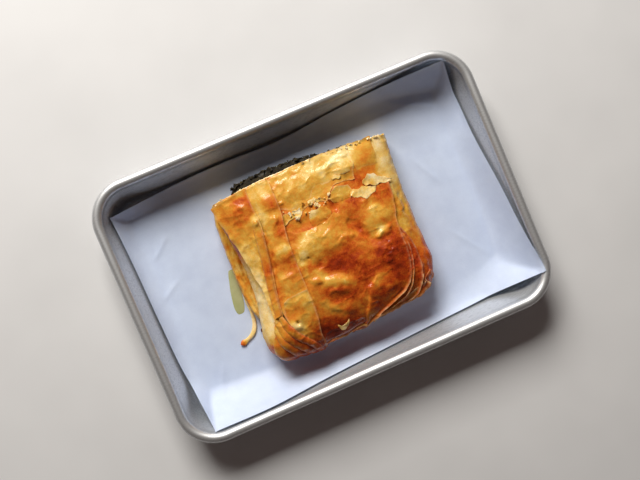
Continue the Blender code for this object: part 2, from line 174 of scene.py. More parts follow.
def grid_quads(columns: int, rows: int, start: int = 0) -> np.ndarray:
    """Return the quads of a grid whose points are stored row by row."""
    index = np.arange(columns * rows).reshape(rows, columns) + start
    corners = (index[:-1, :-1], index[:-1, 1:], index[1:, 1:], index[1:, :-1])
    return np.stack([corner.ravel() for corner in corners], axis=1)


def ring_walls(count: int, rings: int) -> list:
    """Return the quads between rings of the same number of points."""
    base = np.arange(count)
    quads = [np.stack([base, np.roll(base, -1), np.roll(base, -1) + count, base + count], 1) + level * count
             for level in range(rings - 1)]
    return np.vstack(quads).tolist()


def tube(count: int, rings: int) -> list:
    """Return the faces of a closed tube: both end caps and the walls between its rings."""
    base = np.arange(count)
    return [base.tolist(), (base + (rings - 1) * count).tolist(), *ring_walls(count, rings)]


def border_loop(columns: int, rows: int) -> np.ndarray:
    """Return the points round a grid's border, in order."""
    index = np.arange(columns * rows).reshape(rows, columns)
    return np.concatenate([index[0, :-1], index[:-1, -1], index[-1, :0:-1], index[:0:-1, 0]])


def make_object(name: str, points: np.ndarray, faces: list, finish: "Finish", bake: np.ndarray | None = None,
                edge: np.ndarray | None = None, sharp: float = 60.0) -> bpy.types.Object:
    """Make a smooth mesh object, faces out, with its place in its mesh.

    Args:
        name: the piece's name.
        points: places in millimetres.
        faces: lists of point numbers.
        finish: what the piece is made of.
        bake: each point's browning for baked dough, with painted highlights and painted shade where the tone marks
            put them.
        edge: how much each point has of the pale colour of a torn edge, which on edges in shade is also a painted
            highlight.
        sharp: edges that turn more than this many degrees stay crisp.

    Returns:
        The object, linked to the scene.
    """
    mesh = bpy.data.meshes.new(name)
    mesh.from_pydata((np.asarray(points) * MM).tolist(), [], faces)
    mesh.update()
    if bake is not None:
        for key, value in (("bake", bake), ("edge", np.zeros(len(bake)) if edge is None else edge)):
            attribute = mesh.attributes.new(key, "FLOAT", "POINT")
            attribute.data.foreach_set("value", np.asarray(value, np.float32))
    bm = bmesh.new()
    bm.from_mesh(mesh)
    bmesh.ops.remove_doubles(bm, verts=bm.verts, dist=1e-6)
    bmesh.ops.recalc_face_normals(bm, faces=bm.faces)
    if bm.calc_volume(signed=True) < 0.0:
        bmesh.ops.reverse_faces(bm, faces=bm.faces)
    bm.to_mesh(mesh)
    bm.free()
    mesh.shade_smooth()
    mesh.set_sharp_from_angle(angle=math.radians(sharp))
    mesh.materials.append(finish.material())
    item = bpy.data.objects.new(name, mesh)
    bpy.context.scene.collection.objects.link(item)
    return item


def shell(upper: np.ndarray, lower: np.ndarray, columns: int, rows: int) -> tuple[np.ndarray, list]:
    """Join two grids of the same size into one closed shell.

    Args:
        upper, lower: the two skins' places, row by row.
        columns, rows: the grids' size.

    Returns:
        The places and the faces of the shell.
    """
    count = columns * rows
    loop = border_loop(columns, rows)
    after = np.roll(loop, -1)
    rim = np.stack([loop, loop + count, after + count, after], axis=1)
    faces = np.vstack([grid_quads(columns, rows), grid_quads(columns, rows, count)[:, ::-1], rim])
    return np.vstack([upper, lower]), faces.tolist()


def place(piece: bpy.types.Object, slot: str, *nodes: str) -> bpy.types.Object:
    """Hang a finished piece on the part's one body and report it.

    Args:
        piece: the finished object.
        slot: the record's material slot; not used.
        nodes: the CAD nodes it stands for.

    Returns:
        The same object.
    """
    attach(piece, "root")
    if nodes:
        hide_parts(*nodes)
    LOG.info("%-22s %7d faces", piece.name, len(piece.data.polygons))
    return piece


# ------------------------------------------------------------------ materials

def linear(code: str) -> tuple[float, float, float, float]:
    """Return a linear colour for an sRGB hex code."""
    channels = [int(code[i:i + 2], 16) / 255 for i in (1, 3, 5)]
    bent = [c / 12.92 if c <= 0.04045 else ((c + 0.055) / 1.055) ** 2.4 for c in channels]
    return (*bent, 1.0)


class NodeSheet:
    """A material's node tree, filled one node at a time."""

    def __init__(self, name: str) -> None:
        """Start an empty tree with a Principled shader wired to its output."""
        self.material = bpy.data.materials.new(name)
        self.material.use_nodes = True
        self.tree = self.material.node_tree
        self.shader = self.tree.nodes["Principled BSDF"]

    def add(self, kind: str, settings: dict | None = None, **links: object) -> bpy.types.Node:
        """Add a node with its settings, and set or link its inputs by name.

        Args:
            kind: the node's type, without the ShaderNode prefix.
            settings: the node's own properties.
            links: inputs, with underscores for spaces, each a value or another node's output.

        Returns:
            The node.
        """
        node = self.tree.nodes.new("ShaderNode" + kind)
        for key, value in (settings or {}).items():
            setattr(node, key, value)
        for key, value in links.items():
            name = key.replace("_", " ")
            socket = node.inputs[int(name[1:])] if name[0] == "i" and name[1:].isdigit() else node.inputs[name]
            self.join(socket, value)
        return node

    def join(self, socket: bpy.types.NodeSocket, value: object) -> None:
        """Link an output to a socket, or set the socket to a plain value."""
        if isinstance(value, bpy.types.NodeSocket):
            self.tree.links.new(value, socket)
        else:
            socket.default_value = value

    def noise(self, size_mm: float, detail: float = 3.0, seed: float = 0.0,
              stretch: tuple[float, float, float] = (1.0, 1.0, 1.0)) -> bpy.types.NodeSocket:
        """Return noise on the piece's own coordinates, 0 to 1, with features of a real size."""
        place_node = self.add("TexCoord")
        mapping = self.add("Mapping", Vector=place_node.outputs["Object"],
                           Location=(seed, 0.7 * seed, 0.3 * seed), Scale=stretch)
        texture = self.add("TexNoise", Vector=mapping.outputs[0], Scale=1.0 / (size_mm * MM),
                           Detail=detail, Roughness=0.55)
        return texture.outputs["Fac"]

    def levels(self, value: bpy.types.NodeSocket, low: float, high: float,
               to_low: float = 0.0, to_high: float = 1.0) -> bpy.types.NodeSocket:
        """Return a value mapped from one range to another and clamped."""
        node = self.add("MapRange", Value=value)
        for name, number in (("From Min", low), ("From Max", high), ("To Min", to_low), ("To Max", to_high)):
            node.inputs[name].default_value = number
        return node.outputs[0]

    def maths(self, operation: str, a: object, b: object) -> bpy.types.NodeSocket:
        """Return one sum on two values."""
        return self.add("Math", {"operation": operation}, i0=a, i1=b).outputs[0]

    def blend(self, share: object, a: object, b: object, mode: str = "MIX") -> bpy.types.NodeSocket:
        """Return two colours mixed by a share."""
        node = self.add("Mix", {"data_type": "RGBA", "blend_type": mode})
        self.join(node.inputs[0], share)
        self.join(node.inputs[6], a)
        self.join(node.inputs[7], b)
        return node.outputs[2]

    def attribute(self, name: str) -> bpy.types.NodeSocket:
        """Return a named point value of the piece."""
        return self.add("Attribute", {"attribute_name": name}).outputs["Fac"]

    def colours(self, value: bpy.types.NodeSocket, stops: tuple) -> bpy.types.NodeSocket:
        """Return a value turned into colour by (position, hex code) stops."""
        node = self.add("ValToRGB", Fac=value)
        elements = node.color_ramp.elements
        while len(elements) < len(stops):
            elements.new(0.5)
        for element, (position, code) in zip(elements, stops):
            element.position = position
            element.color = linear(code)
        return node.outputs["Color"]

    def bump(self, height: bpy.types.NodeSocket, depth_mm: float, strength: float = 1.0,
             under: bpy.types.NodeSocket | None = None) -> bpy.types.NodeSocket:
        """Return a normal bent by a height of a real depth."""
        node = self.add("Bump", Height=height, Strength=strength, Distance=depth_mm * MM)
        if under is not None:
            self.join(node.inputs["Normal"], under)
        return node.outputs[0]

    def finish(self, **values: object) -> bpy.types.Material:
        """Set or link the shader's inputs and return the material."""
        for key, value in values.items():
            self.join(self.shader.inputs[key.replace("_", " ")], value)
        return self.material


@dataclass(frozen=True)
class BakedPhyllo:
    """Phyllo baked with butter and egg: thin crisp sheets, pale to red-brown, with a soft gloss.

    The browning, with painted highlights and painted shade in some places, is a point value of the mesh, and noise
    breaks it into blisters and specks.
    """

    name: str = "Baked phyllo"
    stops: tuple = ((0.00, "#FFF0CC"), (0.14, "#FADD9E"), (0.28, "#EDC672"), (0.42, "#E0AB45"),
                    (0.56, "#DA8C2D"), (0.72, "#CA5F19"), (0.84, "#A6380B"), (0.93, "#862708"),
                    (1.00, "#561605"))
    # Pale colour of torn edges, and on edges that lie in shade a painted highlight.
    edge: str = "#FACD98"
    roughness: tuple[float, float] = (0.36, 0.58)
    blotch_mm: float = 5.0
    speck_mm: float = 0.9
    wrinkle_mm: float = 2.2
    gloss: float = 0.44

    def build(self) -> bpy.types.Material:
        """Return the material."""
        sheet = NodeSheet(self.name)
        blotch = sheet.levels(sheet.noise(self.blotch_mm, 4.0), 0.3, 0.7, -0.10, 0.10)
        speck = sheet.levels(sheet.noise(self.speck_mm, 2.0, 0.3), 0.25, 0.75, -0.06, 0.06)
        level = sheet.maths("ADD", sheet.maths("ADD", sheet.attribute("bake"), blotch), speck)
        colour = sheet.colours(level, self.stops)
        edge = sheet.attribute("edge")
        patchy = sheet.levels(sheet.noise(3.0, 2.0, 0.7), 0.35, 0.65, 0.15, 0.85)
        colour = sheet.blend(sheet.maths("MULTIPLY", edge, patchy), colour, linear(self.edge))
        wrinkles = sheet.noise(self.wrinkle_mm, 4.0, 0.1)
        grain = sheet.noise(0.5, 3.0, 0.2)
        normal = sheet.bump(wrinkles, 0.30, 0.55)
        normal = sheet.bump(sheet.noise(1.0, 3.0, 0.6), 0.14, 0.5, normal)
        normal = sheet.bump(grain, 0.10, 0.3, normal)
        rough = sheet.levels(sheet.noise(3.5, 3.0, 0.5), 0.3, 0.7, *self.roughness)
        return sheet.finish(Base_Color=colour, Roughness=rough, IOR=1.45, Specular_IOR_Level=0.2,
                            Normal=normal, Coat_Weight=self.gloss, Coat_Roughness=0.15, Coat_Normal=normal,
                            Subsurface_Weight=0.12, Subsurface_Radius=(1.0, 0.45, 0.18),
                            Subsurface_Scale=0.9 * MM)


@dataclass(frozen=True)
class WornAluminium:
    """Mill-finish aluminium sheet, drawn into a pan: satin, scuffed and a little blotchy from use."""

    name: str = "Worn mill-finish aluminium"
    clean: str = "#DDDFE1"
    stained: str = "#B4B8BC"

    def build(self) -> bpy.types.Material:
        """Return the material."""
        sheet = NodeSheet(self.name)
        blotch = sheet.levels(sheet.noise(16.0, 4.0), 0.4, 0.8, 0.0, 0.6)
        scuff = sheet.levels(sheet.noise(1.1, 5.0, 0.4, (0.4, 1.0, 1.0)), 0.40, 0.68)
        stain = sheet.maths("MAXIMUM", blotch, sheet.maths("MULTIPLY", scuff, 0.8))
        colour = sheet.blend(sheet.maths("MULTIPLY", stain, 0.7), linear(self.clean), linear(self.stained))
        rough = sheet.levels(stain, 0.0, 1.0, 0.42, 0.58)
        normal = sheet.bump(sheet.noise(18.0, 2.0, 0.9), 0.3, 0.2)
        normal = sheet.bump(sheet.noise(0.7, 4.0, 0.6), 0.06, 0.5, normal)
        return sheet.finish(Base_Color=colour, Metallic=0.8, Roughness=rough, Normal=normal)


@dataclass(frozen=True)
class WhitePaper:
    """Thin bleached greaseproof paper: matte, slightly cloudy, with fine fibres and soft creases."""

    name: str = "Bleached greaseproof paper"
    # The blue-grey of both colours is painted cool shade; the paper itself is white.
    white: str = "#CDDBF5"
    cloudy: str = "#C2D0EC"

    def build(self) -> bpy.types.Material:
        """Return the material."""
        sheet = NodeSheet(self.name)
        cloud = sheet.levels(sheet.noise(12.0, 4.0), 0.35, 0.65)
        fibre = sheet.levels(sheet.noise(0.6, 3.0, 0.2), 0.3, 0.7)
        share = sheet.maths("ADD", sheet.maths("MULTIPLY", cloud, 0.7), sheet.maths("MULTIPLY", fibre, 0.3))
        colour = sheet.blend(share, linear(self.white), linear(self.cloudy))
        normal = sheet.bump(sheet.noise(9.0, 3.0, 0.8), 0.35, 0.4)
        normal = sheet.bump(fibre, 0.03, 0.4, normal)
        return sheet.finish(Base_Color=colour, Roughness=0.62, Normal=normal, Subsurface_Weight=0.15,
                            Subsurface_Radius=(1.0, 1.0, 1.0), Subsurface_Scale=0.5 * MM)


@dataclass(frozen=True)
class CookedSpinach:
    """Cooked spinach with egg and cheese: moist dark green, nearly black in the folds."""

    name: str = "Cooked spinach"
    stops: tuple = ((0.25, "#110D06"), (0.48, "#221B0C"), (0.66, "#383017"), (0.85, "#6A5A33"))

    def build(self) -> bpy.types.Material:
        """Return the material."""
        sheet = NodeSheet(self.name)
        colour = sheet.colours(sheet.noise(2.5, 5.0), self.stops)
        normal = sheet.bump(sheet.noise(1.2, 5.0, 0.3), 0.8, 0.8)
        return sheet.finish(Base_Color=colour, Roughness=0.65, Normal=normal, Coat_Weight=0.08,
                            Coat_Roughness=0.25, Specular_IOR_Level=0.2)


@dataclass(frozen=True)
class WhiteCheese:
    """Crumbled white brine cheese: matte, creamy, slightly translucent."""

    name: str = "Crumbled white cheese"

    def build(self) -> bpy.types.Material:
        """Return the material."""
        sheet = NodeSheet(self.name)
        colour = sheet.colours(sheet.noise(1.5, 3.0), ((0.3, "#D9CFA6"), (0.7, "#F0EAD2")))
        normal = sheet.bump(sheet.noise(0.5, 3.0, 0.3), 0.15, 0.6)
        return sheet.finish(Base_Color=colour, Roughness=0.5, Normal=normal, Subsurface_Weight=0.3,
                            Subsurface_Scale=0.8 * MM)


@dataclass(frozen=True)
class OliveOil:
    """A thin pool of oil on paper: clear yellow-green, very smooth, faintly cloudy."""

    name: str = "Olive oil"

    def build(self) -> bpy.types.Material:
        """Return the material."""
        sheet = NodeSheet(self.name)
        colour = sheet.colours(sheet.noise(6.0, 2.0), ((0.35, "#C3C688"), (0.65, "#D0D09A")))
        return sheet.finish(Base_Color=colour, Roughness=0.08, Alpha=0.6, IOR=1.47, Coat_Weight=1.0,
                            Coat_Roughness=0.03)


@dataclass(frozen=True)
class StudioFloor:
    """A plain pale floor."""

    name: str = "Pale floor"

    def build(self) -> bpy.types.Material:
        """Return the material."""
        sheet = NodeSheet(self.name)
        colour = sheet.colours(sheet.noise(60.0, 2.0), ((0.3, "#D8D9DB"), (0.7, "#DEDFE1")))
        return sheet.finish(Base_Color=colour, Roughness=0.7)


class Finish(Enum):
    """The finishes of the whole part."""

    PASTRY = BakedPhyllo()
    PALE_PASTRY = BakedPhyllo(name="Pale baked phyllo", gloss=0.35)
    METAL = WornAluminium()
    PAPER = WhitePaper()
    SPINACH = CookedSpinach()
    CHEESE = WhiteCheese()
    OIL = OliveOil()
    FLOOR = StudioFloor()

    def material(self) -> bpy.types.Material:
        """Return this finish's material, made once."""
        made = bpy.data.materials.get(self.value.name)
        return made or self.value.build()


# ------------------------------------------------------------------ pan

@dataclass
class SheetPan:
    """The rolled-rim pan, from the size of its CAD node."""

    corner_radius: float = 24.0
    metal: float = 1.0
    rim_radius: float = 3.0
    curl_degrees: float = 235.0
    foot_inset: float = 12.5
    foot_fillet: float = 4.0
    corner_steps: int = 22
    side_steps: int = 30
    rim_steps: int = 20
    waviness: float = 0.12

    def __post_init__(self) -> None:
        """Read the outside size from the frame."""
        low, high = box_mm("pan")
        self.length, self.width, self.height = high - low + np.array([0.12, 0.12, 0.0])

    def outline(self, inset: float) -> np.ndarray:
        """Return the plan of the rounded rectangle, moved inwards."""
        radius = self.corner_radius - inset
        cx = self.length / 2 - self.corner_radius
        cy = self.width / 2 - self.corner_radius
        points = []
        for quarter, (sx, sy) in enumerate(((1, 1), (-1, 1), (-1, -1), (1, -1))):
            angle = math.pi / 2 * (quarter + np.linspace(0.0, 1.0, self.corner_steps + 1))
            points.append(np.stack([sx * cx + radius * np.cos(angle), sy * cy + radius * np.sin(angle)], 1))
            nx, ny = ((-1, 1), (-1, -1), (1, -1), (1, 1))[quarter]
            turn = math.pi / 2 * (quarter + 1)
            end = np.array([nx * cx + radius * math.cos(turn), ny * cy + radius * math.sin(turn)])
            share = np.linspace(0.0, 1.0, self.side_steps)[1:-1, None]
            points.append(points[-1][-1] * (1 - share) + end * share)
        return np.vstack(points)

    def profile(self) -> np.ndarray:
        """Return (inset, height) of the food side: foot fillet, wall and rolled rim."""
        run = self.foot_inset - 2 * self.rim_radius
        slope = math.atan2(self.height - self.metal - self.rim_radius, run)
        centre = (self.foot_inset + self.foot_fillet * math.tan(slope / 2), self.metal + self.foot_fillet)
        angle = np.linspace(0.0, slope, 8)
        fillet = np.stack([centre[0] - self.foot_fillet * np.sin(angle),
                           centre[1] - self.foot_fillet * np.cos(angle)], 1)
        turn = slope - math.pi / 2 + np.radians(self.curl_degrees) * np.linspace(0, 1, self.rim_steps + 1)
        rim = np.stack([self.rim_radius + self.rim_radius * np.cos(turn),
                        self.height - self.rim_radius + self.rim_radius * np.sin(turn)], 1)
        wall = fillet[-1] + (rim[0] - fillet[-1]) * np.linspace(0, 1, 8)[1:-1, None]
        return np.vstack([fillet, wall, rim])

    def inset(self, x: np.ndarray, y: np.ndarray) -> np.ndarray:
        """Return how far each place lies inside the rim's outer edge."""
        over_x = np.maximum(0.0, np.abs(x) - (self.length / 2 - self.corner_radius))
        over_y = np.maximum(0.0, np.abs(y) - (self.width / 2 - self.corner_radius))
        corner = self.corner_radius - np.hypot(over_x, over_y)
        straight = np.minimum(self.length / 2 - np.abs(x), self.width / 2 - np.abs(y))
        return np.where((over_x > 0) & (over_y > 0), corner, straight)

    def floor_height(self, x: np.ndarray, y: np.ndarray) -> np.ndarray:
        """Return the height of the food side under each place."""
        profile = self.profile()
        top = int(np.argmax(profile[:, 1]))
        run = profile[:top + 1][::-1]
        return np.interp(self.inset(x, y), run[:, 0], run[:, 1])

    def build(self) -> bpy.types.Object:
        """Make the pan and stand it for its CAD node."""
        rings = []
        for inset, height in self.profile():
            ring = self.outline(inset)
            wave = self.waviness * rough_noise(ring[:, 0], ring[:, 1], 38.0, 5)
            share = ramp(3.0, 20.0, np.array(height))
            out = ring / np.linalg.norm(ring, axis=1)[:, None]
            ring = ring + out * (wave * share)[:, None]
            rings.append(np.column_stack([ring, np.full(len(ring), height) + 0.4 * wave * share]))
        count = len(rings[0])
        faces = [np.arange(count)[::-1].tolist(), *ring_walls(count, len(rings))]
        mesh = bpy.data.meshes.new("sheet_pan")
        mesh.from_pydata((np.vstack(rings) * MM).tolist(), [], faces)
        mesh.shade_smooth()
        if max(mesh.polygons, key=lambda face: face.area).normal.z < 0:
            mesh.flip_normals()
        mesh.materials.append(Finish.METAL.material())
        pan = bpy.data.objects.new("sheet_pan", mesh)
        bpy.context.scene.collection.objects.link(pan)
        wall = pan.modifiers.new("Metal", "SOLIDIFY")
        wall.thickness = self.metal * MM
        wall.offset = -1.0
        wall.use_even_offset = True
        return place(bake_modifiers(pan), "pan", "pan")


def bake_modifiers(item: bpy.types.Object) -> bpy.types.Object:
    """Turn an object's modifiers into a plain mesh."""
    graph = bpy.context.evaluated_depsgraph_get()
    graph.update()
    mesh = bpy.data.meshes.new_from_object(item.evaluated_get(graph))
    old = item.data
    item.modifiers.clear()
    item.data = mesh
    mesh.name = item.name
    bpy.data.meshes.remove(old)
    return item


# ------------------------------------------------------------------ paper

@dataclass
class PaperLiner:
    """One sheet of white paper, pushed into the pan a little askew."""

    pan: SheetPan
    thickness: float = 0.18
    gap: float = 0.35
    bend: float = 2.6
    length: float = 222.0
    width: float = 144.0
    step: float = 1.1
    left: tuple = (
        (-102.6, -75, 22), (-108, -40.1, 3.2), (-109.2, -5.2, 6.5), (-109.7, 29.6, 6.5), (-110.6, 64.4, 14))
    right: tuple = (
        (115.3, -66.2, 25.2), (112.9, -36, 21), (111.8, -6, 17), (110.2, 25, 11), (109.6, 52, 9),
        (106.6, 73.4, 25.2))
    front: tuple = (
        (-102.6, -75, 22), (-66.3, -75.1, 22.4), (-30, -73.6, 16.6), (6.3, -72.4, 12.2), (42.7, -71.2, 7.8),
        (79, -69.8, 4.8), (115.3, -66.2, 25.2))
    back: tuple = (
        (-110.6, 64.4, 14), (-74, 68.4, 3), (-38, 69.6, 2.8), (-2, 69, 2.8), (34, 72, 9.5), (70, 73.8, 17),
        (106.6, 73.4, 25.2))

    def edge(self, points: tuple, share: np.ndarray) -> np.ndarray:
        """Return places on one edge curve at each share of its points."""
        padded = extended(points)
        at = np.clip(share, 0, 1) * (len(points) - 1)
        i = np.minimum(at.astype(int), len(points) - 2)
        return spline(padded[i], padded[i + 1], padded[i + 2], padded[i + 3], (at - i)[:, None])

    def build(self) -> bpy.types.Object:
        """Make the sheet and stand it for its CAD node."""
        columns = int(self.length / self.step)
        rows = int(self.width / self.step)
        u, v = np.meshgrid(np.linspace(0, 1, columns), np.linspace(0, 1, rows))
        u, v = u.ravel(), v.ravel()
        left, right = self.edge(self.left, v), self.edge(self.right, v)
        front, back = self.edge(self.front, u), self.edge(self.back, u)
        near = np.array(self.front[0]) * (1 - u)[:, None] + np.array(self.front[-1]) * u[:, None]
        far = np.array(self.back[0]) * (1 - u)[:, None] + np.array(self.back[-1]) * u[:, None]
        plan = left * (1 - u)[:, None] + right * u[:, None] + front * (1 - v)[:, None]
        plan = plan + back * v[:, None] - near * (1 - v)[:, None] - far * v[:, None]
        x, y = plan[:, 0], plan[:, 1]
        floor = self.pan.metal + self.gap
        off_wall = (self.pan.foot_inset - self.pan.inset(x, y)) / self.bend
        lying = [self.pan.floor_height(x + 0.8 * np.sign(x), y) + self.gap,
                 self.pan.floor_height(x, y + 0.8 * np.sign(y)) + self.gap,
                 floor + 2.4 * self.bend * np.log1p(np.exp(off_wall))]
        reach_right = 12.0 + 14.0 * (1 - v) ** 6
        reach_front = 11.0 + 14.0 * u ** 6 + 13.0 * (1 - u) ** 2.5
        reach_back = 7.0 + 15.0 * np.maximum(0.0, (u - 0.6) / 0.4) ** 3
        sides = ((left, u * self.length, 9.0, 1.7), (right, (1 - u) * self.length, reach_right, 1.7),
                 (front, v * self.width, reach_front, 1.7), (back, (1 - v) * self.width, reach_back, 1.25))
        for edge, distance, reach, roundness in sides:
            curl = np.maximum(0.0, 1 - distance / reach) ** roundness
            lying.append(floor + (edge[:, 2] - floor) * curl)
        rise = np.maximum(0.0, np.array(lying) - floor)
        z = np.minimum(25.4, floor + np.log(1.0 + np.expm1(1.2 * rise).sum(axis=0)) / 1.2)
        z = z + self.creases(x, y) + 0.22 * (1 + rough_noise(x, y, 30.0, 3, 2)) * ramp(0, 30, self.width * v)
        upper = np.column_stack([x, y, z + self.thickness])
        lower = np.column_stack([x, y, z])
        points, faces = shell(upper, lower, columns, rows)
        paper = make_object("paper_sheet", points, faces, Finish.PAPER)
        return place(paper, "paper", "paper_liner")

    def creases(self, x: np.ndarray, y: np.ndarray) -> np.ndarray:
        """Return the height of the sheet's few soft creases."""
        lines = (((-100.0, 30.0), (-84.0, 44.0), 0.5), ((-104.0, 6.0), (-88.0, 16.0), 0.4),
                 ((62.0, 69.0), (100.0, 50.0), 0.9), ((-95.0, -66.0), (-84.0, -40.0), 0.5),
                 ((74.0, -20.0), (96.0, -50.0), 0.35), ((70.0, 30.0), (84.0, 4.0), 0.3))
        height = np.zeros_like(x)
        for start, end, tall in lines:
            a, b = np.array(start), np.array(end)
            along = b - a
            size = np.linalg.norm(along)
            share = ((x - a[0]) * along[0] + (y - a[1]) * along[1]) / size ** 2
            side = ((x - a[0]) * along[1] - (y - a[1]) * along[0]) / size
            fade = ramp(0.0, 0.3, share) * ramp(0.0, 0.3, 1.0 - share)
            height += tall * fade * np.exp(-np.abs(side) / 1.6)
        return height


# ------------------------------------------------------------------ the crust's form

@dataclass(frozen=True)
class Puff:
    """A blister or hollow of the top: its middle, half length and width, turn and height."""

    x: float
    y: float
    long: float
    wide: float
    turn: float
    tall: float

    def height(self, x: np.ndarray, y: np.ndarray) -> np.ndarray:
        """Return the puff's height at each place."""
        c, s = math.cos(math.radians(self.turn)), math.sin(math.radians(self.turn))
        a = ((x - self.x) * c + (y - self.y) * s) / self.long
        b = ((y - self.y) * c - (x - self.x) * s) / self.wide
        return self.tall * np.exp(-((a * a + b * b) ** 1.5))


@dataclass(frozen=True)
class Wrinkle:
    """A ridge or groove along a route, with its own reach on the left and right of its direction."""

    route: Outline
    tall: float
    left: float
    right: float

    def height(self, x: np.ndarray, y: np.ndarray) -> np.ndarray:
        """Return the wrinkle's height at each place."""
        path = smooth_curve(self.route, 4 * len(self.route))
        wander = 0.9 if self.right < 4.0 else 1.4
        x, y = x + wander * soft_noise(x / 3.2, y / 3.2, 15), y + wander * soft_noise(x / 3.2, y / 3.2, 16)
        nearest = np.full(x.shape, 1e9)
        side, share = np.ones(x.shape), np.zeros(x.shape)
        for i, (start, end) in enumerate(zip(path[:-1], path[1:])):
            along = end - start
            length = max(1e-6, float(np.hypot(*along)))
            t = np.clip(((x - start[0]) * along[0] + (y - start[1]) * along[1]) / length ** 2, 0.0, 1.0)
            dx, dy = x - start[0] - t * along[0], y - start[1] - t * along[1]
            gap = np.hypot(dx, dy)
            closer = gap < nearest
            nearest = np.where(closer, gap, nearest)
            side = np.where(closer, np.sign(along[0] * dy - along[1] * dx), side)
            share = np.where(closer, (i + t) / (len(path) - 1), share)
        reach = np.where(side > 0, self.left, self.right)
        fade = ramp(-0.02, 0.22, share) * ramp(-0.02, 0.22, 1.0 - share)
        patchy = 0.75 + 0.5 * soft_noise(x / 4.5, y / 4.5, 17)
        return self.tall * fade * patchy * np.exp(-(nearest / reach) ** 2)


TOP_WRINKLES: tuple[Wrinkle, ...] = (
    Wrinkle(((24, -26.8), (18, -29.6), (14, -32.5), (11, -38), (8, -44), (5, -49.5), (1, -56), (-2, -62)), 1.7,
        4.5, 0.8),
    Wrinkle(((-21, -14.5), (-13, -16.5), (-7, -19.2), (-2, -21.4), (5, -24), (9, -25.5)), 1.0, 1.7, 3.0),
    Wrinkle(((-20, -9), (-13, -10), (-7, -12.6), (-1, -16.6), (6, -20)), -0.8, 5.0, 2.4),
    Wrinkle(((-12, -24.5), (-5, -26), (3, -28)), 0.5, 1.0, 2.0),
    Wrinkle(((27, 14), (33, 15.5), (41, 13)), 0.5, 1.2, 2.2),
    Wrinkle(((-6, 6.5), (0, 6), (6, 7.5)), 0.4, 1.0, 2.2),
    Wrinkle(((-19, -6.5), (-16.5, 0), (-14, 6), (-7, 9.4), (2, 11)), 0.9, 1.3, 4.0),
    Wrinkle(((-19, -25), (-14, -31), (-10, -36), (-6, -39), (3, -40.5)), 0.9, 2.4, 1.5),
    Wrinkle(((15, 12), (19, 5), (23, -3), (27, -9)), -0.8, 2.4, 2.4),
    Wrinkle(((27, -6.8), (33, -5.4), (39, -3.4)), 1.5, 1.2, 2.6),
    Wrinkle(((2, -1.8), (7, -0.9), (11, 0.3), (16, 0.4), (20, -2.5), (24, -7.5)), 0.7, 1.1, 2.5),
    Wrinkle(((9, 42), (16, 41.4), (21, 43), (26, 45.2), (33, 44.6)), 1.2, 1.6, 1.8),
    Wrinkle(((-14, 44), (-6, 42), (2, 43)), 0.4, 1.8, 2.4),
    Wrinkle(((-31, 7), (-26, 8.6), (-20.5, 10.4)), 1.0, 1.3, 2.4),
    Wrinkle(((-34, -7), (-28, -6.6), (-22, -9)), 0.7, 1.6, 2.0),
    Wrinkle(((-30, 24), (-25, 26), (-19, 24)), 0.5, 1.8, 2.2),
    Wrinkle(((-42, 38.4), (-39, 40), (-35.5, 38)), 0.8, 0.9, 1.3),
    Wrinkle(((49.5, 24), (48.8, 8), (48, -8), (48.2, -20)), 0.7, 1.8, 1.4),
    Wrinkle(((52.5, 14), (52, 2), (51.5, -12)), -0.6, 1.2, 1.2),
    Wrinkle(((46, -20), (47, -30), (46, -38), (43, -45), (40, -53), (39, -60)), 1.1, 1.0, 2.6),
    Wrinkle(((50, -20), (51, -30), (50, -38), (47, -45), (45, -54), (44, -62)), 1.1, 1.0, 2.4),
    Wrinkle(((54, -24), (55, -32), (54, -40), (51.5, -47), (50, -55)), 0.9, 1.0, 2.4),
)


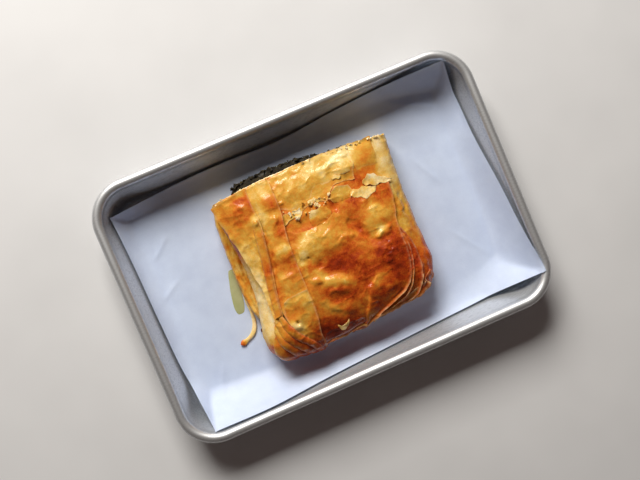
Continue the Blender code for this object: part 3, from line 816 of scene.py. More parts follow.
@dataclass
class CrustForm:
    """The crust's outer form: a dome, its crown edge and the side below, as one unrolled plan."""

    crown: Outline = (
        (-50.8, 60), (-50.6, 49), (-50.3, 39), (-48.9, 26), (-47.6, 12), (-47.4, 0), (-47.8, -10), (-48.8, -18),
        (-50.6, -26), (-52.2, -33), (-53, -40), (-51.6, -46.4), (-47, -50.4), (-39.4, -51), (-27, -51.3),
        (-10.3, -50.4), (10.4, -48.6), (27, -47.8), (36, -47), (44.6, -45.2), (50.6, -40.4), (54, -32),
        (53.8, -22), (53.6, -10), (53.6, 6), (54.6, 28), (56.6, 50), (57, 60))
    shoulder: float = 21.5
    apex: float = 30.9
    reach: float = 9.0
    side_length: float = 21.5
    side_slopes: Outline = ((0, 50), (3, 68), (7, 86), (14, 93), (18, 104), (21.5, 140))
    sag: float = 0.25
    sag_reach: float = 18.0
    back_fall: float = 0.34
    blistered: Tones = (
        (33, -17, 8), (-38, 35, 3.5), (-33, 28.5, 2.2), (14, -20, 6), (-24, -4, 3), (-26, 3, 2.5))
    puffs: tuple[Puff, ...] = (
        Puff(-4, 3, 13, 7.5, 0, 1.8), Puff(-16.5, -8.5, 5, 4.5, 0, 1.2), Puff(-8, -23, 12, 6, -18, 0.9),
        Puff(32, -17, 8.5, 8, 0, 1.5), Puff(33, 4, 9, 7, 10, 1.5), Puff(33, 9.8, 2.4, 1, 0, 0.5),
        Puff(22, -36, 8, 5, 15, 0.8), Puff(-5, -30, 7, 3.5, -25, -0.35), Puff(20, 4, 4, 7, 10, -0.8),
        Puff(12, -14, 8, 8, 0, 0.5), Puff(27, 38, 6, 5, 0, 1.2), Puff(-4, 38, 14, 6, 5, 0.7),
        Puff(41, 40, 7, 6, 0, 0.8), Puff(-39, 38, 7, 6, 0, 0.6), Puff(-33, 28.6, 2.6, 2.6, 0, 0.8),
        Puff(-22, 36, 4.5, 5, 0, 0.8), Puff(-25, 5, 6, 4, 10, 1), Puff(-28, -12, 6, 5, 0, 0.8),
        Puff(-34, -36.8, 2.4, 1.8, -20, 0.6), Puff(-33.3, -34.6, 0.9, 1.2, 0, -1.8),
        Puff(-34, -28, 4, 4, 0, -0.6), Puff(-27, -24, 5, 4, 0, 0.6), Puff(12.5, 18.5, 2.4, 3, 0, -0.9),
        Puff(-9, 16.8, 6.5, 2.8, -5, -0.5), Puff(51, 30, 3, 8, 0, 0.5), Puff(-13.2, -2.8, 0.6, 0.8, 20, -0.6),
        Puff(43, 12, 4, 5, 0, 0.6), Puff(-15, 32.6, 1, 1, 0, 0.8), Puff(-40, 10, 3, 12, -8, 0.5))

    def __post_init__(self) -> None:
        """Sample the crown edge and its outward directions, and the side's round."""
        self.edge = smooth_curve(self.crown, 460)
        along = unit_rows(np.gradient(self.edge, axis=0))
        self.outward = np.column_stack([along[:, 1], -along[:, 0]])
        if self.outward[0, 0] > 0:
            self.outward = -self.outward
        self.arc = np.linspace(0.0, self.side_length, 60)
        self.slope = np.radians(np.interp(self.arc, *zip(*self.side_slopes)))
        step = self.arc[1] - self.arc[0]
        self.out = np.concatenate([[0.0], np.cumsum(np.cos(self.slope[:-1]) * step)])
        self.down = np.concatenate([[0.0], np.cumsum(np.sin(self.slope[:-1]) * step)])

    def back_edge(self, x: np.ndarray) -> np.ndarray:
        """Return the cut face's y, which bulges in the middle."""
        share = np.clip((x + 56.0) / 113.4, 0.0, 1.0)
        return 46.8 + 2.9 * np.sin(math.pi * share) ** 0.7

    def nearest(self, plan: np.ndarray) -> tuple[np.ndarray, np.ndarray]:
        """Return, for each place, the closest crown point's number and the distance beyond it."""
        best = np.empty(len(plan), int)
        for start in range(0, len(plan), 4000):
            part = plan[start:start + 4000]
            gap = ((part[:, None, :] - self.edge[None, :, :]) ** 2).sum(axis=2)
            best[start:start + 4000] = gap.argmin(axis=1)
        offset = plan - self.edge[best]
        side = np.sign((offset * self.outward[best]).sum(axis=1))
        return best, side * np.linalg.norm(offset, axis=1)

    def dome(self, plan: np.ndarray, beyond: np.ndarray) -> np.ndarray:
        """Return the smooth dome's height inside the crown edge."""
        inside = np.maximum(0.0, -beyond)
        back = self.back_edge(plan[:, 0]) - plan[:, 1]
        rise = 1 - np.exp(-inside / self.reach)
        rise = rise * (1 - self.sag * np.exp(-inside / self.sag_reach))
        rise = rise * (1 - self.back_fall * np.exp(-np.maximum(0.0, back) / self.reach))
        return self.shoulder + (self.apex - self.shoulder) * rise

    def relief(self, plan: np.ndarray) -> np.ndarray:
        """Return the small heights that every sheet of the top shares."""
        x, y = plan[:, 0], plan[:, 1]
        height = sum(puff.height(x, y) for puff in self.puffs)
        height = height + sum(wrinkle.height(x, y) for wrinkle in TOP_WRINKLES)
        zones = sum(np.exp(-((x - at_x) ** 2 + (y - at_y) ** 2) / size ** 2) for at_x, at_y, size in self.blistered)
        height = height + 0.62 * zones * np.maximum(0.0, soft_noise(x / 1.9, y / 1.9, 13)) ** 1.4
        bent_x = x + 2.0 * soft_noise(x / 6.0, y / 6.0, 18)
        bent_y = y + 2.0 * soft_noise(x / 6.0, y / 6.0, 19)
        creases = (1.0 - np.abs(soft_noise(bent_x / 7.0, bent_y / 5.0, 20))) ** 3
        long_y = y * (1.0 - 0.62 * ramp(22.0, 32.0, -x))
        height = height + 0.26 * rough_noise(x, long_y, 9.0, 11, 2) + 0.11 * rough_noise(x, long_y, 2.8, 12, 2)
        return height + 0.35 * creases

    def place(self, plan: np.ndarray, lift: np.ndarray) -> np.ndarray:
        """Return where places of the unrolled plan lie in space.

        Args:
            plan: unrolled places.
            lift: how far each is raised off the smooth form.

        Returns:
            Places in millimetres.
        """
        best, beyond = self.nearest(plan)
        edge, outward = self.edge[best], self.outward[best]
        top = np.column_stack([plan, self.dome(plan, beyond)])
        d = np.maximum(0.0, beyond)
        out, down = np.interp(d, self.arc, self.out), np.interp(d, self.arc, self.down)
        slope = np.interp(d, self.arc, self.slope)
        rim = self.dome(edge, np.zeros(len(plan)))
        side = np.column_stack([edge + outward * out[:, None], rim - down])
        inside = (beyond <= 0.0)[:, None]
        base = np.where(inside, top, side)
        tilt = np.where(beyond <= 0.0, self.slope[0] * np.exp(np.minimum(0.0, beyond) / self.reach), slope)
        normal = np.column_stack([outward * np.sin(tilt)[:, None], np.cos(tilt)])
        return base + normal * lift[:, None]


# ------------------------------------------------------------------ phyllo sheets

def tone_at(plan: np.ndarray, tones: Tones, seed: int) -> np.ndarray:
    """Return the browning at each place, blended between tone marks.

    Args:
        plan: unrolled places.
        tones: marks of x, y and browning, from 0 pale to 1 dark; some pale marks are painted highlights and some
            dark marks painted shade.
        seed: chooses how the borders between marks wander.

    Returns:
        One value for each place.
    """
    x = plan[:, 0] + 2.2 * rough_noise(plan[:, 0], plan[:, 1], 7.0, seed + 50)
    y = plan[:, 1] + 2.2 * rough_noise(plan[:, 0], plan[:, 1], 7.0, seed + 60)
    weight = np.zeros(len(plan))
    total = np.zeros(len(plan))
    for mark_x, mark_y, level in tones:
        w = 1.0 / ((x - mark_x) ** 2 + (y - mark_y) ** 2 + 6.0) ** 1.7
        weight += w
        total += w * level
    return total / weight


def coons(left: np.ndarray, right: np.ndarray, front: np.ndarray, back: np.ndarray) -> np.ndarray:
    """Return a grid of places, row by row from the front, between four curves that share corners."""
    rows, columns = len(left), len(front)
    s = np.linspace(0, 1, columns)[None, :, None]
    t = np.linspace(0, 1, rows)[:, None, None]
    ruled = left[:, None] * (1 - s) + right[:, None] * s + front[None] * (1 - t) + back[None] * t
    corners = front[0] * (1 - s) * (1 - t) + front[-1] * s * (1 - t)
    corners = corners + back[0] * (1 - s) * t + back[-1] * s * t
    return (ruled - corners).reshape(rows * columns, -1)


@dataclass
class PhylloSheet:
    """One sheet of baked phyllo laid over the crust, drawn by its four edges.

    The left and right edges run from front to back; the front and back edges run from left to
    right and give only the points between the corners. Curls, rags and pale sides are for the
    left, right, front and back edge in that order.
    """

    name: str
    left: Outline
    right: Outline
    layer: float
    tones: Tones
    front: Outline = ()
    back: Outline = ()
    curl: tuple[float, float, float, float] = (0.0, 0.0, 0.0, 0.0)
    ragged: tuple[float, float, float, float] = (0.0, 0.0, 0.0, 0.0)
    curl_reach: float = 2.2
    roll: float = 0.0
    thickness: float = 0.4
    pale_edges_and_highlight: float = 0.45
    step: float = 0.65
    seed: int = 0
    crinkle: float = 0.12
    own: tuple[Wrinkle, ...] = ()
    angular: bool = False
    pale_sides: tuple[float, float, float, float] = (1.0, 1.0, 1.0, 1.0)
    edge_width: float = 0.6
    flare: float = 0.0

    def build(self, form: CrustForm) -> bpy.types.Object:
        """Make the sheet as a closed thin shell on the crust's form."""
        front = (self.left[0], *self.front, self.right[0])
        back = (self.left[-1], *self.back, self.right[-1])
        long = max(curve_length(smooth_curve(edge, 60)) for edge in (self.left, self.right))
        wide = max(curve_length(smooth_curve(edge, 60)) for edge in (front, back))
        columns, rows = max(6, int(wide / self.step)), max(6, int(long / self.step))
        trace = straight_curve if self.angular else smooth_curve
        plan = coons(trace(self.left, rows), trace(self.right, rows), trace(front, columns), trace(back, columns))
        s = np.tile(np.linspace(0, 1, columns), rows)
        t = np.repeat(np.linspace(0, 1, rows), columns)
        grid = plan.reshape(rows, columns, 2)
        across = np.linalg.norm(np.diff(grid, axis=1), axis=2).sum(axis=1).repeat(columns)
        gaps = [s * across, (1 - s) * across, t * long, (1 - t) * long]
        plan = self.tear(grid, gaps)
        x, y = plan[:, 0], plan[:, 1]
        lift = self.layer + form.relief(plan) + self.crinkle * rough_noise(x, y, 4.0, self.seed + 31)
        lift += self.roll * np.sqrt(np.clip(4 * s * (1 - s), 0.0, 1.0))
        lift += sum((wrinkle.height(x, y) for wrinkle in self.own), np.zeros(len(x)))
        for gap, height in zip(gaps, self.curl):
            reach = self.curl_reach * (1.0 + 0.4 * rough_noise(x, y, 8.0, self.seed + 41))
            flare = 1.0 + self.flare * ramp(36.0, 44.0, -y) - 0.5 * (self.flare > 0.0) * (1 - ramp(26.0, 38.0, -y))
            uneven = 1.0 + 0.5 * rough_noise(x, y, 6.0, self.seed + 43)
            lift += height * flare * uneven * np.exp(-(gap / reach) ** 2)
        bake = tone_at(plan, self.tones, self.seed)
        # Pale rims: the torn edges' own paler tone, and where a sheet sets it high a painted highlight along edges
        # in shade; on flared sheets it fades behind the front.
        rims = [share * np.exp(-(gap / self.edge_width) ** 2) for gap, share in zip(gaps, self.pale_sides)]
        far = (1.0 - ramp(32.0, 42.0, -y)) * (self.flare > 0.0)
        edge = self.pale_edges_and_highlight * np.max(np.stack(rims), axis=0) * (1.0 - 0.6 * far)
        points, faces = shell(form.place(plan, lift), form.place(plan, lift - self.thickness), columns, rows)
        sheet = make_object(self.name, points, faces, Finish.PASTRY, np.tile(bake, 2), np.tile(edge, 2), 75.0)
        return place(sheet, "pastry")

    def tear(self, grid: np.ndarray, gaps: list) -> np.ndarray:
        """Return the grid's places with its four edges made as ragged as each is."""
        across = unit_rows(np.gradient(grid, axis=1).reshape(-1, 2))
        along = unit_rows(np.gradient(grid, axis=0).reshape(-1, 2))
        plan = grid.reshape(-1, 2)
        for k, (gap, depth) in enumerate(zip(gaps, self.ragged)):
            if depth == 0.0:
                continue
            run = gaps[2] if k < 2 else gaps[0]
            bite = depth * (rough_noise(run, np.full_like(run, 3.7 * k), 3.2, self.seed + 80 + k, 4) - 0.2)
            fade = np.exp(-(gap / (2.0 + depth)) ** 2)
            sign = 1.0 if k in (1, 3) else -1.0
            plan = plan + (across if k < 2 else along) * (sign * bite * fade)[:, None]
        return plan


@dataclass
class CrustBody:
    """The body of the crust under its top sheets: closed, with a pocket for the filling."""

    form: CrustForm
    step: float = 0.68
    bottom: float = 2.0
    wall: float = 0.87
    # Tone marks, mostly browning; the dark marks from (-52.4, 34) to (-49, 18) are painted shade in the crevice
    # between the side ledge and the flap.
    tones: Tones = (
        (-52.4, 34, 0.84), (-51.4, 25, 0.86), (-50.6, 16, 0.8), (-55, 40, 0.2), (-56, 20, 0.24), (-57, 0, 0.28),
        (-56, -20, 0.26), (-62, 30, 0.55), (-64, 0, 0.6), (-62, -25, 0.5), (-49, 30, 0.82), (-49, 18, 0.8),
        (-47.5, 4, 0.36), (-50, -8, 0.22), (-50, -18, 0.18), (-47, -14, 0.16), (-48, -30, 0.14),
        (-52, -30, 0.18), (-51, -36, 0.16), (-54, -38, 0.34), (-51.5, -43.5, 0.74), (-55, -44, 0.74),
        (-51, -49, 0.84), (-50, -54, 0.9), (-44, -48, 0.74), (-40, -55, 0.88), (-20, -55, 0.9), (0, -55, 0.85),
        (20, -52, 0.85), (40, -50, 0.8), (50, -42, 0.75), (54, -30, 0.72), (60, -25, 0.8), (46, -30, 0.8),
        (48, -15, 0.56), (47, -4, 0.46), (56, -5, 0.55), (48, 8, 0.54), (53, 10, 0.4), (56, 15, 0.45),
        (49, 20, 0.24), (51, 32, 0.2), (52, 44, 0.12), (60, 40, 0.5), (62, 10, 0.6), (57, 46, 0.3),
        (40, 40, 0.55), (40, 32, 0.64), (42, 46, 0.4), (34, 28, 0.74), (30, 31, 0.76), (27, 38, 0.3),
        (24, 24, 0.6), (29, 26, 0.7), (12, 22, 0.78), (12.5, 18, 0.72), (0, 18, 0.6), (-4, 24, 0.56),
        (17, 19.5, 0.6), (21, 20, 0.58), (26, 20, 0.6), (16, 25, 0.56), (8, 22, 0.6), (-10, 15.4, 0.66),
        (-6, 14, 0.7), (-12, 19, 0.56), (-6, 18, 0.6), (-10, 24, 0.56), (4, 26, 0.58), (-14, 20, 0.62))

    def border(self) -> tuple[np.ndarray, np.ndarray, np.ndarray, np.ndarray]:
        """Return the unrolled plan's left, right, front and back edges, evenly spaced."""
        form = self.form
        outer = form.edge + form.outward * form.side_length
        outer = outer[outer[:, 1] <= form.back_edge(np.clip(form.edge[:, 0], -54, 56)) + 0.01]
        corner_left = int(np.argmax(outer @ np.array([-0.72, -0.69])))
        corner_right = int(np.argmax(outer @ np.array([0.72, -0.69])))
        left, front = outer[:corner_left + 1][::-1], outer[corner_left:corner_right + 1]
        right = outer[corner_right:]
        rows = int(curve_length(left) / self.step)
        columns = int(curve_length(front) / self.step)
        x = np.linspace(left[-1, 0], right[-1, 0], columns)
        back = np.column_stack([x, form.back_edge(np.clip(x, -54.0, 56.0))])
        back[0], back[-1] = left[-1], right[-1]
        return (smooth_curve(left[::4].tolist() + [left[-1]], rows),
                smooth_curve(right[::4].tolist() + [right[-1]], rows),
                smooth_curve(front[::4].tolist() + [front[-1]], columns), back)

    def build(self) -> bpy.types.Object:
        """Make the body."""
        form = self.form
        left, right, front, back = self.border()
        rows, columns = len(left), len(front)
        plan = coons(left, right, front, back)
        points = form.place(plan, form.relief(plan))
        bake = tone_at(plan, self.tones, 3)
        grid = np.arange(rows * columns).reshape(rows, columns)
        base = points[:, 2].copy()
        border = np.concatenate([grid[:, 0], grid[0], grid[:, -1]])
        base[border] = self.bottom
        points[:, 2] = np.maximum(base, self.bottom)
        faces = grid_quads(columns, rows).tolist()
        back_row = points[grid[-1]]
        sill = np.linspace(back_row[-1], back_row[0], 60)[1:-1]
        loop = np.vstack([back_row, sill])
        numbers = np.concatenate([grid[-1], np.arange(len(sill)) + len(points)])
        parts, tones = [points, sill], [bake, np.full(len(sill), 0.55)]
        floor = np.concatenate([grid[::-1, 0], grid[0, 1:], grid[1:, -1], numbers[columns:]])
        faces.append(floor.tolist())
        middle = np.array([0.5, 13.5])
        count = len(points) + len(sill)
        layers = [(share, 0.5 * math.sin(11.0 * k)) for k, share in enumerate(np.linspace(0.985, self.wall, 9))]
        layers += [(self.wall - 0.02, -4.0), (self.wall - 0.03, -20.0), (0.70, -78.0)]
        for share, depth in layers:
            ring = loop.copy()
            ring[:, 0] = middle[0] + (loop[:, 0] - middle[0]) * share
            ring[:, 2] = middle[1] + (loop[:, 2] - middle[1]) * share
            fray = 0.5 * rough_noise(loop[:, 0] + 40 * share, loop[:, 2], 2.2, 60)
            ring[:, 1] = loop[:, 1] + depth + (fray if depth > -1.0 else 0.0)
            current = np.arange(len(ring)) + count
            faces += np.stack([numbers, np.roll(numbers, -1), np.roll(current, -1), current], 1).tolist()
            parts.append(ring)
            tones.append(np.full(len(ring), 0.12 + 0.3 * (share > 0.96)))
            numbers = current
            count += len(ring)
        faces.append(numbers.tolist())
        body = make_object("crust_body", np.vstack(parts), faces, Finish.PASTRY, np.concatenate(tones), sharp=50.0)
        return place(body, "pastry", "pastry")


@dataclass
class SideLedge:
    """The flattened fold along the left foot of the pie, under the flap."""

    outer: tuple = (
        (-53.6, 46.6), (-55.6, 38), (-56.4, 29), (-57.2, 13), (-57.4, -3.6), (-56.8, -15.8), (-54.4, -25),
        (-51.5, -30))
    inner_shift: float = 9.5
    low: float = 2.05
    high: float = 10.2
    # Tone marks; the dark ones along the inner edge near x = -49 are painted shade in the crevice under the flap.
    tones: Tones = (
        (-54, 44, 0.3), (-53, 34, 0.38), (-49.4, 34, 0.7), (-53.5, 26, 0.34), (-53, 17, 0.34), (-48.6, 24, 0.8),
        (-48.4, 12, 0.74), (-56.5, 20, 0.6), (-56.5, 2, 0.6), (-53, 6, 0.34), (-49.4, 2, 0.44),
        (-53.5, -12, 0.36), (-57, -12, 0.6), (-49, -16, 0.24), (-52, -27, 0.2))

    def build(self) -> bpy.types.Object:
        """Make the ledge as a closed rounded slab along the pie's foot."""
        path = smooth_curve(self.outer, 150)
        along = unit_rows(np.gradient(path, axis=0))
        inward = np.column_stack([-along[:, 1], along[:, 0]])
        inward *= np.sign(inward[60, 0])
        t = np.linspace(0, 1, len(path))
        profile = ((self.inner_shift, 0.0), (0.8, 0.0), (0.15, 0.12), (0.0, 0.35), (0.1, 0.6), (0.5, 0.82),
                   (1.2, 0.95), (2.4, 1.0), (4.0, 1.02), (5.6, 0.95), (7.4, 0.90), (self.inner_shift, 0.86))
        section = smooth_curve(profile, 44)
        section = np.vstack([section, section[0] + (section[-1] - section[0]) * np.array([[0.5], [0.25]])])
        taper = ramp(0.0, 0.05, t) * ramp(0.0, 0.14, 1.0 - t) * 0.55 + 0.45
        rings, bake = [], []
        for i, (spot, side) in enumerate(zip(path, inward)):
            here = np.full(len(section), i * 0.7)
            across = section[:, 0] + 0.4 * rough_noise(section[:, 1] * 6.0, here, 5.0, 151)
            plan = spot + side * across[:, None]
            tall = (self.high - self.low) * taper[i]
            drift = soft_noise(np.array([i * 0.05]), np.array([0.0]), 152)[0]
            crease = 0.5 * np.sin(section[:, 0] * 1.7 + 2.0 * drift)
            z = self.low + tall * section[:, 1] + crease * ramp(0.5, 1.0, section[:, 1])
            z += 0.45 * rough_noise(plan[:, 0], plan[:, 1], 6.0, 153) * ramp(0.3, 1.0, section[:, 1])
            rings.append(np.column_stack([plan, z]))
            low_tone = 0.62 * (1.0 - ramp(0.45, 0.95, section[:, 1])) * (section[:, 0] < 3.0)
            bake.append(np.maximum(tone_at(plan, self.tones, 154), low_tone))
        ledge = make_object("side_ledge", np.vstack(rings), tube(len(section), len(path)),
                            Finish.PASTRY, np.concatenate(bake))
        return place(ledge, "pastry")


# ------------------------------------------------------------------ the whole crust

